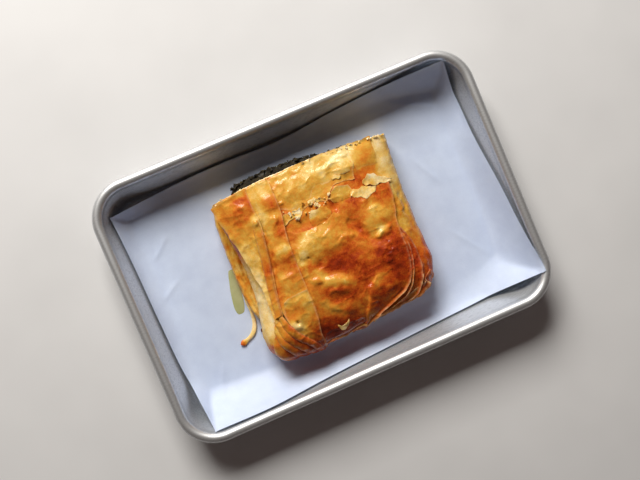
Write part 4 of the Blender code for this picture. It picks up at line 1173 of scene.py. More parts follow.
SHEETS: tuple[PhylloSheet, ...] = (
    # The front brim, front lip and the two under sheets have strong pale edges: painted highlight lines along edges
    # that lie in shade.
    PhylloSheet("sheet_front_brim", layer=1.0, thickness=0.3, seed=100, curl=(0.3, 0, 1.6, 0), curl_reach=1.6,
        left=((8, -52), (10, -48)), right=((47.6, -43.8), (46, -41.4)), pale_edges_and_highlight=1.1, edge_width=1.0,
        front=((20, -51.2), (32, -49.8), (40, -48), (45.6, -46)), back=((22, -47), (34, -45.4), (43, -42.8)),
        ragged=(0.2, 0.2, 0.6, 0), step=0.5,
        tones=((12, -50, 0.6), (20, -50, 0.62), (28, -49, 0.7), (36, -48, 0.64), (46, -45, 0.76))),
    PhylloSheet("sheet_front_lip", layer=0.9, thickness=0.3, seed=119, curl=(0, 0.3, 1.5, 0), curl_reach=1.0,
        left=((-24, -53.4), (-24, -50.4)), right=((9, -51.4), (10, -48.6)), pale_edges_and_highlight=1.2, edge_width=0.8,
        front=((-17, -52.6), (-10, -53.4), (-4, -52), (3, -52.2)), back=((-8, -50.2), (2, -49.4)),
        ragged=(0.2, 0.2, 0.9, 0), step=0.5,
        tones=((-20, -52, 0.7), (-8, -51, 0.76), (4, -51, 0.6))),
    PhylloSheet("sheet_front_corner", layer=0.35, seed=101,
        left=((24, -66), (30, -55), (38, -47.5)), right=((57, -52), (54.5, -44), (50.5, -37)),
        front=((42, -66),), back=((44, -42),), curl=(0.4, 0.2, 0, 0.2), ragged=(0.3, 0.2, 0.3, 0.3),
        tones=((30, -56, 0.86), (40, -50, 0.84), (50, -46, 0.76), (46, -42, 0.82), (52, -40, 0.7))),
    PhylloSheet("sheet_under_third", layer=0.8, pale_edges_and_highlight=1.1, edge_width=0.8, flare=1.4, seed=102,
        left=((-6, -66), (0, -45)), right=((12, -55.5), (20, -51.4), (30, -49.3), (38, -47), (43, -42),
        (46.6, -33), (47.6, -24), (46.2, -14), (42, -4)), back=((25, -20),),
        tones=((10, -52, 0.72), (25, -48, 0.7), (38, -44, 0.74), (44, -34, 0.84)), curl=(0, 0.5, 0, 0),
        curl_reach=1.1, ragged=(0, 0.35, 0, 0), step=0.5),
    PhylloSheet("sheet_under_second", layer=1.25, pale_edges_and_highlight=1.1, edge_width=0.8, flare=1.4, seed=103,
        left=((-4, -64), (4, -42)), right=((6, -52.5), (12, -49.7), (22, -47.6), (30, -45.8), (36.5, -41.8),
        (40.6, -35), (43.6, -26), (44.4, -16), (42, -6)), back=((25, -20),),
        tones=((10, -49, 0.62), (25, -46, 0.66), (36, -40, 0.7), (42, -29, 0.8)), curl=(0, 0.5, 0, 0),
        curl_reach=1.1, ragged=(0, 0.3, 0, 0), step=0.5),
    PhylloSheet("sheet_main", layer=1.6, pale_edges_and_highlight=0.9, pale_sides=(0.5, 1, 1, 0.2), edge_width=0.8, flare=2.2,
        seed=104,
        left=((-24.5, -70), (-24, -50), (-22.5, -20), (-21.5, 0), (-20.5, 17.5)), right=((-8, -70), (-1, -58),
        (5, -51.6), (12, -48.6), (20, -46.2), (28, -43.6), (34, -40.8), (38.5, -36), (41.2, -28), (42.5, -20),
        (42.5, -10), (43.2, -2), (45, 5), (46.5, 12), (47.2, 20.3)), back=((-18, 16.8), (-14, 14.2), (-9, 12.8),
        (-5, 12.4), (2, 13), (7, 14.2), (10.5, 16.4), (12.2, 14.8), (15, 17), (18, 19), (25, 20.2), (33, 18),
        (38, 20), (42, 21)),
        front=((-16, -71),), ragged=(0, 0.25, 0.8, 0.7), curl=(0, 0.4, 0, -0.2), curl_reach=1.1, step=0.55,
        # Tone marks: browning, except the pale marks at (33, -4.6), (33, 10.2), from (-8, -18) to (1, -22) and at
        # (18, -29.6) and (22, -28), which are painted highlights on ridges facing the light.
        tones=((-19, 12, 0.76), (-18.6, 6, 0.66), (-14, 6, 0.34), (-15, 0, 0.28), (-17, -5, 0.18),
        (-14, 12, 0.66), (-12, 8.5, 0.28), (-5, 10, 0.4), (1, 11.5, 0.46), (8, 13, 0.54), (-9, 3, 0.32),
        (-4, 6, 0.42), (2, 5, 0.46), (8, 8, 0.46), (13, 5, 0.52), (-8, -2, 0.42), (-2, -4.5, 0.6),
        (4, -1, 0.52), (11, 1, 0.54), (14, -2, 0.58), (-5, -6, 0.62), (-14, -8.6, 0.84), (-8, -8.5, 0.86),
        (-3, -11, 0.96), (0, -13, 0.98), (4, -16, 0.94), (8, -8, 0.82), (5, -5, 0.72), (12, -6, 0.76),
        (12, -14, 0.83), (8, -19, 0.84), (14, -22, 0.85), (10, -26, 0.88), (16, -12, 0.8), (19, -7, 0.66),
        (22, -12, 0.72), (-19, -9, 0.66), (-17, -12, 0.46), (-11, -14, 0.46), (-8, -18, 0.36), (-4, -20, 0.3),
        (1, -22, 0.34), (4, -23.5, 0.5), (-15, -17, 0.58), (-11, -20, 0.62), (-16, -22, 0.64), (-8, -24, 0.84),
        (-2, -26, 0.86), (-13, -26, 0.76), (-18, -28, 0.58), (-2, -30.5, 0.74), (-8, -30, 0.8), (4, -32, 0.8),
        (-14, -32, 0.4), (-10, -36, 0.44), (-17, -36, 0.6), (-4, -37, 0.64), (2, -38, 0.68), (-7, -40, 0.58),
        (-17, -43, 0.92), (-12, -41, 0.9), (-15, -48, 0.93), (-5, -45, 0.9), (-9, -46.2, 0.92),
        (-10, -50, 0.86), (0, -49, 0.78), (20, 3, 0.8), (22, 7, 0.74), (18, 9, 0.64), (23, 0, 0.82),
        (28, 3, 0.4), (33, 7, 0.34), (33, 10.2, 0.2), (34, 13, 0.7), (38, 4, 0.4), (30, -0.5, 0.46),
        (35, 0, 0.72), (33, -4.6, 0.08), (33, -8, 0.78), (41, 3, 0.56), (41, -5, 0.66), (43, 8, 0.6),
        (44, 15, 0.7), (28, 15, 0.72), (22, 15, 0.76), (38, 12, 0.7), (16, 15, 0.68), (25, 18, 0.76),
        (38, 17, 0.76), (12, 14.5, 0.5), (26, -10, 0.7), (21, -17, 0.66), (33, -10, 0.8), (38, -10, 0.78),
        (28, -16, 0.92), (33, -18, 0.94), (38, -15, 0.9), (37, -22, 0.88), (30, -23, 0.92), (40, -26, 0.84),
        (24, -20, 0.84), (22, -25, 0.82), (18, -29.6, 0.36), (22, -28, 0.44), (24, -32, 0.72),
        (26, -28.5, 0.86), (20, -33.5, 0.82), (14, -29, 0.86), (18, -26.5, 0.88), (18, -36, 0.84),
        (30, -31, 0.86), (35, -33, 0.86), (14, -41, 0.78), (20, -40, 0.8), (26, -38, 0.8), (30, -38, 0.8),
        (12, -34, 0.66), (10, -40, 0.64), (7, -45, 0.62), (0, -44, 0.76), (24, -43.5, 0.66), (33, -39.5, 0.66),
        (-20, -60, 0.82), (0, -62, 0.82))),
    PhylloSheet("curled_scrap", layer=2.0, thickness=0.3, seed=118, curl=(0, 0, 1.9, 0), curl_reach=1.5,
        step=0.35,
        left=((-12.8, -44.4), (-12.6, -43.9)), right=((-5.3, -43.6), (-5.2, -43.1)),
        front=((-11.6, -46.8), (-8.8, -47.6), (-6.4, -45.6)), back=((-11, -45.2), (-8.8, -45.3), (-6.6, -44.4)),
        ragged=(0.3, 0.3, 0.6, 0.5),
        # The near-white mark at (-9, -46.4) is a painted highlight on the curl.
        tones=((-12.6, -44, 0.36), (-9, -46.4, 0.02), (-5.8, -43.6, 0.4))),
    PhylloSheet("sheet_rear_lower", layer=0.14, thickness=0.25, seed=105, pale_edges_and_highlight=0.55, edge_width=0.8,
        left=((-20, 25), (-20, 40)), right=((30, 29), (32, 40)),
        front=((-14, 24), (-9, 22.5), (-4, 24.5), (1, 24.2), (5, 25.4), (9, 23.6), (12, 25.5), (16, 29.5),
        (22, 30.5)), ragged=(0, 0.3, 1, 0.3), curl=(0, 0.1, 0.1, 0),
        tones=((-16, 26, 0.7), (-8, 26, 0.42), (0, 26, 0.52), (8, 27, 0.52), (14, 31, 0.48), (20, 32, 0.44),
        (28, 32, 0.56), (4, 31, 0.44))),
    PhylloSheet("sheet_rear", layer=0.32, thickness=0.25, seed=106, pale_edges_and_highlight=0.6, edge_width=0.8,
        left=((-20, 30.5), (-20, 48.5)), right=((32, 34.8), (33.2, 40), (33.5, 49.6)),
        front=((-17, 29.5), (-13, 27.4), (-9, 26.6), (-5, 27), (0, 27.6), (2.5, 29.5), (4.5, 32.6), (8, 33.4),
        (12, 32.8), (16.5, 33.6), (20, 35.6), (25, 34.2)), back=((-8, 49.5), (4, 50.2), (20, 50.4)),
        ragged=(0, 0.3, 0.7, 0.8), curl=(0, -0.2, -0.15, 0.4), step=0.5,
        # The pale marks from (12, 41) to (33, 45) are a painted highlight along the crest of the rear ridge.
        tones=((-17, 44, 0.5), (-14, 36, 0.44), (-8, 32, 0.46), (-6, 40, 0.45), (0, 45, 0.45), (-10, 45, 0.45),
        (4, 37, 0.44), (10, 38, 0.4), (0, 30, 0.46), (12, 41, 0.24), (15, 45, 0.44), (20, 43, 0.22),
        (27, 45.5, 0.14), (33, 45, 0.2), (5, 40.5, 0.32), (10, 48.5, 0.26), (-6, 48, 0.36), (-16, 31, 0.6),
        (27, 38, 0.28), (24, 36, 0.38), (31, 37, 0.36), (18, 37, 0.42), (20, 48, 0.34), (30, 49, 0.24),
        (-16, 49, 0.4), (9, 34, 0.46))),
    PhylloSheet("sheet_rear_right", layer=0.28, thickness=0.25, pale_edges_and_highlight=0.25, seed=107,
        left=((33, 33), (32.6, 39), (32.8, 45), (33.4, 49.8)), right=((46.5, 32), (47.5, 40), (48.4, 49.2)),
        front=((38, 33.4), (42, 32.6)), ragged=(0.3, 0.2, 0.9, 0.8), curl=(-0.1, -0.1, -0.25, 0.4),
        curl_reach=1.2,
        tones=((36, 39, 0.52), (42, 39, 0.64), (46, 40, 0.52), (44, 34, 0.56), (34, 44, 0.26), (44, 45, 0.46),
        (36, 35, 0.54), (40, 49, 0.3), (33.5, 40, 0.36), (47, 33, 0.4), (38, 45, 0.44))),
    PhylloSheet("torn_plate", layer=0.32, seed=108, curl=(0, 0, -0.2, 0.1), curl_reach=1.2, angular=True,
        thickness=0.15, pale_edges_and_highlight=0.9, pale_sides=(0.3, 0.9, 0, 1), edge_width=0.7,
        left=((13, 20.6), (11.6, 24.4), (14, 27.4)), right=((23.8, 20.2), (26.6, 23), (24.6, 27.6)),
        front=((17, 20.4),), back=((17.4, 29.8), (20.4, 29)), ragged=(0.4, 0.5, 0.4, 0.5), step=0.42,
        tones=((14, 24, 0.5), (20, 26, 0.42), (24, 24, 0.48), (18, 22, 0.56), (22, 28, 0.34), (16, 28, 0.38))),
    PhylloSheet("torn_flake_right", layer=0.5, seed=109, roll=0.9, curl=(0.1, 0.3, 0.4, 0.5), curl_reach=1.8,
        angular=True,
        left=((34.2, 23), (33, 25), (33.6, 26.8)), right=((49, 20.4), (50.4, 21.4)),
        front=((36.8, 23), (39.2, 20.6), (42.4, 21), (45.6, 19.8)), back=((35.6, 27.6), (37.8, 29.6),
        (40.4, 28.4), (42.4, 25.8), (45.4, 24.8), (47.4, 22.6)), ragged=(0.5, 0.2, 0.8, 0.8), step=0.36,
        pale_edges_and_highlight=0.3, crinkle=0.4,
        tones=((36, 26, 0.26), (40, 27, 0.08), (44, 23, 0.12), (48, 21, 0.16), (38, 23, 0.46), (34, 25, 0.34))),
    PhylloSheet("torn_flake_middle", layer=0.65, seed=110, roll=0.5, curl=(0.2, 0.3, 0.7, 0.3), curl_reach=1.8,
        angular=True,
        left=((23.2, 20.6), (24.2, 22.6)), right=((38.4, 18.2), (40, 20.6)),
        front=((25.6, 19), (28.6, 18), (31.4, 16.2), (34.4, 16.4), (36.6, 17.8)), back=((26.6, 24.6),
        (29.4, 22.8), (32, 24.4), (35.4, 22.2), (37.6, 21.8)), ragged=(0.4, 0.4, 0.8, 0.9), step=0.36,
        pale_edges_and_highlight=0.3, crinkle=0.4,
        tones=((25, 21, 0.34), (29, 20, 0.2), (34, 18.6, 0.1), (38, 19.6, 0.18), (29, 22.4, 0.46),
        (34, 22.4, 0.4))),
    PhylloSheet("torn_flake_rear", layer=0.5, seed=120, curl=(0, 0.2, 0.2, 0), curl_reach=1.0, angular=True,
        left=((17.6, 33.6), (17.4, 34.8)), right=((22.4, 33.2), (22.8, 34.2)),
        front=((19.4, 33.8), (21, 32.6)), back=((19.2, 35.8), (21.2, 34.9)), ragged=(0.3, 0.3, 0.5, 0.5),
        step=0.36, pale_edges_and_highlight=0.2, crinkle=0.3,
        tones=((18, 34, 0.36), (20, 34.4, 0.16), (22.5, 33.6, 0.4))),
    PhylloSheet("torn_mound", layer=0.35, seed=111, roll=1.1, curl=(0.2, -0.2, -0.6, 0.2), curl_reach=1.8,
        angular=True, pale_edges_and_highlight=0.0,
        left=((-3.6, 12), (-4, 16), (-2.6, 20.6)), right=((9.2, 13), (10.2, 17), (8.4, 20.4)),
        back=((-0.8, 22.6), (2.4, 21.6), (5.4, 22.4)), ragged=(0.5, 0.5, 0, 0.7), step=0.4, crinkle=0.3,
        # The pale mark at (-1.5, 19) is a painted highlight on the mound's back slope.
        tones=((-1.5, 19, 0.12), (1, 21.4, 0.16), (3, 18, 0.44), (7, 18, 0.58), (2, 14, 0.62), (-3, 14, 0.66),
        (7, 21, 0.5))),
    PhylloSheet("torn_rag_left", layer=0.2, thickness=0.15, seed=112, roll=0.2, curl=(0, 0.2, 0, 0),
        curl_reach=1.3, angular=True,
        left=((-20, 19.4), (-20, 25)), right=((-8, 20.4), (-5.4, 23.2)),
        front=((-17, 19.8), (-14.2, 21.6), (-11, 21.8)), back=((-15.6, 26.4), (-12, 25.2), (-9, 26.2)),
        ragged=(0, 0.6, 0.7, 0.7), step=0.4, crinkle=0.3,
        tones=((-17, 22, 0.5), (-13, 22, 0.38), (-13, 25, 0.48), (-8, 22, 0.16), (-9, 25, 0.2))),
    PhylloSheet("torn_rag_white", layer=0.45, thickness=0.2, seed=113, curl=(0.1, 0.3, 0.1, 0.3),
        curl_reach=1.1, angular=True,
        left=((-11.6, 23.6), (-11.2, 26.2)), right=((-7, 22.6), (-6.2, 26.4)),
        front=((-9.6, 24),), back=((-9, 25.6),), ragged=(0.5, 0.5, 0.5, 0.5), step=0.36, crinkle=0.3,
        tones=((-10, 25, 0.02), (-8, 24, 0.14))),
    PhylloSheet("torn_rag_middle", layer=0.35, thickness=0.15, seed=114, curl=(0.2, 0.2, 0.1, 0.3),
        curl_reach=1.1, angular=True,
        left=((0.2, 24.8), (-0.4, 27.4)), right=((9.8, 23.2), (8.8, 25.8)),
        front=((2.8, 25.8), (4.6, 24.6), (7, 25)), back=((3.5, 28.6), (5.2, 26.8), (7, 27.2)),
        ragged=(0.5, 0.4, 0.7, 0.7), step=0.36, crinkle=0.3,
        tones=((2, 27, 0.08), (5, 26, 0.28), (8, 25, 0.5), (3, 25, 0.44))),
    PhylloSheet("band_2", layer=2.35, seed=115,
        left=((-34, -66), (-33.5, -45), (-38.5, -28), (-37.5, -10), (-35, 5), (-33, 20), (-32.8, 48.6)),
        right=((-22.6, -66), (-22.4, -51), (-22.9, -45), (-21.4, -38), (-20.5, -30), (-20.4, -10), (-20.2, 0),
        (-19.8, 10), (-18.4, 20), (-17, 30), (-17, 49.2)), ragged=(0, 0.15, 0.4, 0.8), curl=(0, 0.6, 0, 0.4),
        curl_reach=1.5,
        own=(Wrinkle(((-30, 28), (-30.6, 19), (-32.2, 8), (-34.2, -5), (-36.4, -16)), -0.9, 0.9, 1.0),
        Wrinkle(((-21.5, 40), (-22, 20), (-23.2, 0), (-23.2, -16)), 0.7, 1.6, 2.2), Wrinkle(((-30, 40),
        (-30.5, 25), (-32.5, 5), (-35.5, -12)), -0.8, 1.6, 1.6)),
        # The dark marks along the left edge, beside band_1, are a painted shadow line under band_1's raised edge;
        # the pale marks at (-23.5, 9.4), (-28, 7.6) and (-32, -6) are painted highlights.
        tones=((-26, 48, 0.34), (-21, 47, 0.34), (-28, 43, 0.4), (-24, 42, 0.4), (-19, 44, 0.4), (-20, 36, 0.8),
        (-24, 37, 0.52), (-28, 36, 0.36), (-18, 40, 0.56), (-27, 28, 0.3), (-30, 24, 0.36), (-20, 30, 0.52),
        (-22, 26, 0.46), (-20, 21, 0.8), (-22, 17, 0.74), (-27, 17, 0.34), (-30.6, 16, 0.72), (-31.6, 8, 0.74),
        (-28, 12.6, 0.56), (-28, 7.6, 0.24), (-23.5, 9.4, 0.18), (-20, 12, 0.66), (-21, 5, 0.66),
        (-28, 3.5, 0.6), (-24.5, -1, 0.8), (-31.5, 1, 0.76), (-34, -6, 0.7), (-32, -6, 0.34), (-27, -6, 0.54),
        (-22, -6, 0.6), (-35.6, -12, 0.7), (-32, -12, 0.46), (-27, -11, 0.5), (-23, -13, 0.56),
        (-30, -17, 0.44), (-24, -17, 0.52), (-25, -45, 0.76), (-30, -50, 0.84), (-28, -60, 0.84))),
    PhylloSheet("plate_2", layer=2.85, seed=116,
        left=((-29, -60), (-30, -47), (-36, -38), (-38, -29), (-35.6, -21)), right=((-22.8, -60), (-23, -46),
        (-21.4, -36), (-20.8, -18.6)), back=((-33, -19.6), (-28, -19.1), (-24, -18.7)),
        ragged=(0, 0.1, 0.4, 0.25), curl=(0, 0.2, 0, 0.4), curl_reach=1.4, step=0.5, pale_edges_and_highlight=0.7,
        # The pale marks at (-35, -37) and (-32.5, -37.2) are a painted highlight on the rim of the small hole.
        tones=((-33, -21, 0.38), (-27, -21, 0.34), (-23, -21, 0.4), (-36, -27, 0.66), (-33, -30, 0.68),
        (-30, -26, 0.56), (-26, -27, 0.44), (-22.5, -27, 0.48), (-35, -37, 0.06), (-32.5, -37.2, 0.16),
        (-34, -40.5, 0.56), (-31, -31, 0.62), (-27, -35, 0.5), (-23, -37, 0.66), (-28, -40, 0.6),
        (-24, -43, 0.8), (-31, -43, 0.56), (-27, -47, 0.8), (-24, -50, 0.84), (-26, -58, 0.86))),
    PhylloSheet("band_1", layer=2.7, seed=117,
        left=((-44, -31), (-43.2, -10), (-44.2, 0), (-45.2, 10), (-46.6, 20), (-48.6, 30), (-50.2, 38),
        (-51.2, 45.4)), right=((-39.2, -28), (-38.4, -25), (-37, -15), (-35, -5), (-33, 8), (-31.2, 20),
        (-30.2, 28), (-31, 38), (-30.6, 48.8)), back=((-44, 47.6),), ragged=(0.2, 0.1, 0.3, 0.7),
        curl=(0.9, 0.5, 0, 0.4), curl_reach=1.9,
        own=(Wrinkle(((-32.6, 28), (-33.8, 18), (-35.6, 5), (-38, -8), (-40, -18), (-41.4, -27)), 1.0, 1.9,
        2.2), Wrinkle(((-36.5, 28), (-38.4, 15), (-40.4, 3), (-43, -12)), -0.9, 1.2, 1.3), Wrinkle(((-47, 36),
        (-45, 24), (-43, 12), (-42.2, 0)), 0.7, 1.2, 1.6)),
        tones=((-46, 44, 0.52), (-40, 46, 0.5), (-36, 47, 0.42), (-43, 38, 0.56), (-38, 36, 0.68),
        (-34, 40, 0.68), (-38, 42.5, 0.82), (-41, 33, 0.66), (-38, 30.5, 0.66), (-47, 33, 0.54),
        (-45, 25, 0.52), (-40, 27, 0.5), (-36, 24, 0.48), (-33, 28.5, 0.2), (-33, 22, 0.54), (-42, 18, 0.4),
        (-38, 16, 0.38), (-33.2, 19, 0.62), (-34, 12, 0.62), (-46, 13, 0.22), (-46, 5, 0.2), (-42.5, 10, 0.32),
        (-43.5, 18, 0.42), (-40, 8, 0.34), (-35.6, 6, 0.66), (-43, 0, 0.24), (-36.6, -1, 0.72), (-37, -7, 0.64),
        (-44, -6, 0.1), (-41.6, -9, 0.26), (-38.8, -13, 0.56), (-44, -15, 0.22), (-42.4, -18, 0.26),
        (-39.4, -20, 0.62), (-43.4, -25, 0.24), (-40.4, -27, 0.6))),
    PhylloSheet("band_ribbon", layer=2.95, thickness=0.5, seed=121, roll=1.5, curl=(0, 0.3, 0, -0.6),
        curl_reach=1.2,
        left=((-43.4, -28), (-42.6, -22), (-41, -11), (-38.8, 2), (-36.8, 15), (-35.4, 25), (-33.6, 30)),
        right=((-39.3, -27.4), (-38.3, -23), (-36.9, -13), (-34.8, -2), (-32.5, 10), (-31.2, 20), (-31, 29)),
        ragged=(0.15, 0.15, 0.2, 0.3), step=0.45, pale_edges_and_highlight=0.5, pale_sides=(0.8, 1, 0, 0.3), crinkle=0.2,
        tones=((-34, 26, 0.5), (-32.4, 20, 0.56), (-36, 20, 0.48), (-33.6, 12, 0.62), (-37, 12, 0.5),
        (-35.4, 5, 0.6), (-36.4, -1, 0.74), (-39, 0, 0.58), (-37.6, -7, 0.6), (-39, -13, 0.52),
        (-38.4, -18, 0.62), (-41, -20, 0.46), (-40.6, -26, 0.6))),
)

# How much deeper in tone than its middle each pleat is, by the share of the way across from its upper edge:
# painted shade in the gap by that edge and a painted highlight along the ridge.
PLEAT_PAINTED_SHADE_AND_HIGHLIGHT = ((0.1, 0.22), (0.4, 0.04), (0.75, -0.13))
PLEATS: tuple[tuple[str, Outline, Outline, float], ...] = (
    ("pleat_1", ((-39.6, -27), (-37.2, -35), (-33, -42), (-27.5, -48), (-24, -55), (-22.5, -65)), ((-42.2, -28),
     (-41.4, -37), (-37.4, -44), (-32, -49.5), (-28.5, -56), (-27.5, -65)), 2.2),
    ("pleat_2", ((-42, -29), (-40.2, -38), (-36.4, -44), (-31, -49.4), (-27.5, -56), (-26.5, -65)),
     ((-45.4, -29.5), (-44.6, -40), (-41.4, -46), (-36.6, -51.4), (-33.5, -58), (-32, -65)), 1.7),
    ("pleat_3", ((-44.6, -30), (-43.6, -40), (-40.4, -46), (-35.6, -51.6), (-32.5, -58), (-31, -65)),
     ((-47.6, -36), (-47.2, -43), (-44.6, -48.4), (-41, -53.6), (-38.6, -59), (-37.5, -65)), 1.3),
    ("pleat_4", ((-47, -37), (-46.2, -43), (-43.6, -48.4), (-40, -53.8), (-37.6, -59), (-36.5, -65)),
     ((-50.6, -41), (-51.8, -47), (-50.4, -53), (-47.4, -58), (-45.4, -62), (-44.5, -65)), 0.8),
)


@dataclass
class Crust:
    """The baked crust: its body, the sheets on it and the pleats of the gathered corner."""

    form: CrustForm = field(default_factory=CrustForm)

    def build(self) -> list[bpy.types.Object]:
        """Make the body and every sheet."""
        pieces = [CrustBody(self.form).build()]
        pieces += [sheet.build(self.form) for sheet in SHEETS]
        for number, (name, right, left, layer) in enumerate(PLEATS):
            tones = tuple((a[0] + (b[0] - a[0]) * share, a[1] + (b[1] - a[1]) * share,
                           min(0.96, 0.45 + 0.35 * min(1.0, 0.31 * k) + painted_shading))
                          for k, (a, b) in enumerate(zip(right, left)) for share, painted_shading in PLEAT_PAINTED_SHADE_AND_HIGHLIGHT)
            pleat = PhylloSheet(name, left=left[::-1], right=right[::-1], layer=layer, tones=tones, roll=1.5,
                                curl=(0.0, 0.2, 0.0, 0.0), seed=130 + number, step=0.45, crinkle=0.25,
                                ragged=(0.0, 0.2, 0.3, 0.3), pale_edges_and_highlight=0.35)
            pieces.append(pleat.build(self.form))
        pieces.append(SideLedge().build())
        return pieces


# ------------------------------------------------------------------ filling, strand and oil

@dataclass
class SpinachFilling:
    """The filling that runs through the pie and shows, dark and lumpy, at the cut face."""

    around: int = 220
    along: int = 60
    middle_x: float = 1.0
    middle_z: float = 14.0
    half_height: float = 9.0
    half_width: float = 33.0
    widening: float = 9.5
    front: float = -36.0
    depth: float = 84.0

    def build(self) -> bpy.types.Object:
        """Make the lumpy core and stand it for its CAD node."""
        turn = np.linspace(0, 2 * math.pi, self.around, endpoint=False)
        shape = np.sign(np.cos(turn)) * np.abs(np.cos(turn)) ** 0.45
        rise = np.sign(np.sin(turn)) * np.abs(np.sin(turn)) ** 0.6
        rings = []
        for share in np.linspace(0, 1, self.along):
            y = np.full(self.around, self.front + self.depth * share)
            wide = self.half_width + self.widening * share
            ring = np.column_stack([self.middle_x + wide * shape, y, self.middle_z + self.half_height * rise])
            ring[:, 0] += 0.5 * rough_noise(turn * 8, y, 4.0, 70)
            ring[:, 2] += 0.5 * rough_noise(turn * 8, y, 4.0, 71)
            rings.append(ring)
        for share in np.linspace(0.98, 0.05, 26):
            ring = rings[self.along - 1].copy()
            ring[:, 0] = self.middle_x + (ring[:, 0] - self.middle_x) * share
            ring[:, 2] = self.middle_z + (ring[:, 2] - self.middle_z) * share
            bulge = 3.6 + 1.6 * rough_noise(ring[:, 0], ring[:, 2], 6.0, 72, 4)
            bulge += 2.2 * np.exp(-((ring[:, 0] + 14.0) / 20.0) ** 2) - 2.6 * ramp(8.0, 22.0, ring[:, 0])
            ring[:, 1] += bulge * min(1.0, (1.0 - share) * 12.0)
            rings.append(ring)
        core = make_object("spinach_filling", np.vstack(rings), tube(self.around, len(rings)), Finish.SPINACH)
        return place(core, "filling", "filling")


@dataclass
class PastryStrip:
    """A thin strand of phyllo that has come away from the ledge and lies on the paper."""

    route: tuple = (
        (-56.6, -3, 3.4), (-56.8, -13, 3), (-57, -21, 2.8), (-57.9, -27.5, 2.8), (-61, -32.6, 3),
        (-66.2, -35.4, 2.8), (-70.6, -36.4, 2.9))
    half_width: float = 1.1
    thickness: float = 0.6

    def build(self) -> bpy.types.Object:
        """Make the strand and stand it for its CAD node."""
        path = smooth_curve(self.route, 90)
        along = unit_rows(np.gradient(path, axis=0))
        side = unit_rows(np.column_stack([along[:, 1], -along[:, 0], np.zeros(len(path))]))
        t = np.linspace(0, 1, len(path))
        width = self.half_width * (0.95 + 0.25 * soft_noise(t * 7, t * 0, 80)) * (0.4 + 0.6 * ramp(0, 0.3, t))
        width = width * (1.0 + 1.0 * np.exp(-((t - 0.95) / 0.04) ** 2)) * np.sqrt(ramp(0.0, 0.03, 1.0 - t) + 0.04)
        columns = 9
        across = np.linspace(-1, 1, columns)
        upper = path[:, None] + side[:, None] * (across[None, :, None] * width[:, None, None])
        arch = 0.5 * (1 - across[None] ** 2) + 0.25 * rough_noise(t[:, None] * 30 + across[None], across[None]
                                                                  + 0 * t[:, None], 1.5, 81)
        upper[:, :, 2] += arch
        lower = upper.copy()
        lower[:, :, 2] -= self.thickness * (1 - 0.5 * across[None] ** 2)
        points, faces = shell(upper.reshape(-1, 3), lower.reshape(-1, 3), columns, len(path))
        bake = np.tile(np.repeat(0.16 + 0.56 * ramp(0.86, 0.98, t), columns), 2)
        strand = make_object("pastry_strand", points, faces, Finish.PALE_PASTRY, bake)
        return place(strand, "pale_pastry", "pastry_strip")


@dataclass
class OilPuddle:
    """A small long pool of oil on the paper, to the left of the pie."""

    middle: tuple[float, float, float] = (-60.8, -5.6, 1.9)
    half_length: float = 13.7
    half_width: float = 3.2
    tall: float = 0.5
    lean: float = 0.17

    def build(self) -> bpy.types.Object:
        """Make the pool and stand it for its CAD node."""
        rings, around = 10, 64
        turn = np.linspace(0, 2 * math.pi, around, endpoint=False)
        edge = 1.0 + 0.06 * soft_noise(np.cos(turn) * 2, np.sin(turn) * 2, 90)
        parts = []
        for share in np.linspace(1.0, 0.08, rings):
            along = self.half_length * np.sign(np.cos(turn)) * np.abs(np.cos(turn)) ** 0.85 * edge * share
            across = np.sign(np.sin(turn)) * np.abs(np.sin(turn)) ** 0.6 * edge * share
            across = across * self.half_width * (1.0 + 0.22 * np.cos(turn))
            x = self.middle[0] - self.lean * along + across
            y = self.middle[1] - along
            z = self.middle[2] + self.tall * np.sqrt(1 - share ** 2 + 1e-4) * np.ones(around)
            parts.append(np.column_stack([x, y, z]))
        pool = make_object("oil_pool", np.vstack(parts), tube(around, rings), Finish.OIL)
        return place(pool, "oil", "oil_drop")


# ------------------------------------------------------------------ loose bits

class Bit(Enum):
    """The shapes that are strewn in numbers."""

    FLAKE = "flake"
    CRUMB = "crumb"
    LEAF = "leaf"


def bit_mesh(kind: Bit, seed: int) -> bpy.types.Mesh:
    """Return one small shape, about a metre across, that a scatter scales down.

    Args:
        kind: which shape.
        seed: chooses its outline.

    Returns:
        A closed mesh of a few dozen faces.
    """
    if kind is Bit.CRUMB:
        bm = bmesh.new()
        bmesh.ops.create_icosphere(bm, subdivisions=1, radius=0.5)
        for vertex in bm.verts:
            x, y, z = vertex.co
            bump = float(soft_noise(np.array([x * 2.3 + seed]), np.array([y * 2.3 + z * 3.1]), seed)[0])
            vertex.co *= 1.0 + 0.35 * bump
    else:
        columns, rows = (5, 4) if kind is Bit.FLAKE else (6, 5)
        s, t = np.meshgrid(np.linspace(-0.5, 0.5, columns), np.linspace(-0.4, 0.4, rows))
        s, t = s.ravel(), t.ravel()
        x = s + 0.16 * soft_noise(3 * s, 3 * t, seed) - 0.25 * t * (seed % 3 - 1)
        y = t * (1.0 - 0.7 * np.abs(s)) + 0.14 * soft_noise(3 * s, 3 * t, seed + 1)
        bend = 0.45 if kind is Bit.FLAKE else 0.9
        z = bend * s * s + 0.22 * soft_noise(2.5 * s + 4, 2.5 * t, seed + 2)
        upper = np.column_stack([x, y, z + 0.03])
        lower = np.column_stack([x, y, z - 0.05])
        points, faces = shell(upper, lower, columns, rows)
        mesh = bpy.data.meshes.new(f"{kind.value}_shape")
        mesh.from_pydata(points.tolist(), [], faces)
        bm = bmesh.new()
        bm.from_mesh(mesh)
        bpy.data.meshes.remove(mesh)
    bmesh.ops.recalc_face_normals(bm, faces=bm.faces)
    mesh = bpy.data.meshes.new(f"{kind.value}_bit")
    bm.to_mesh(mesh)
    bm.free()
    mesh.shade_smooth()
    return mesh


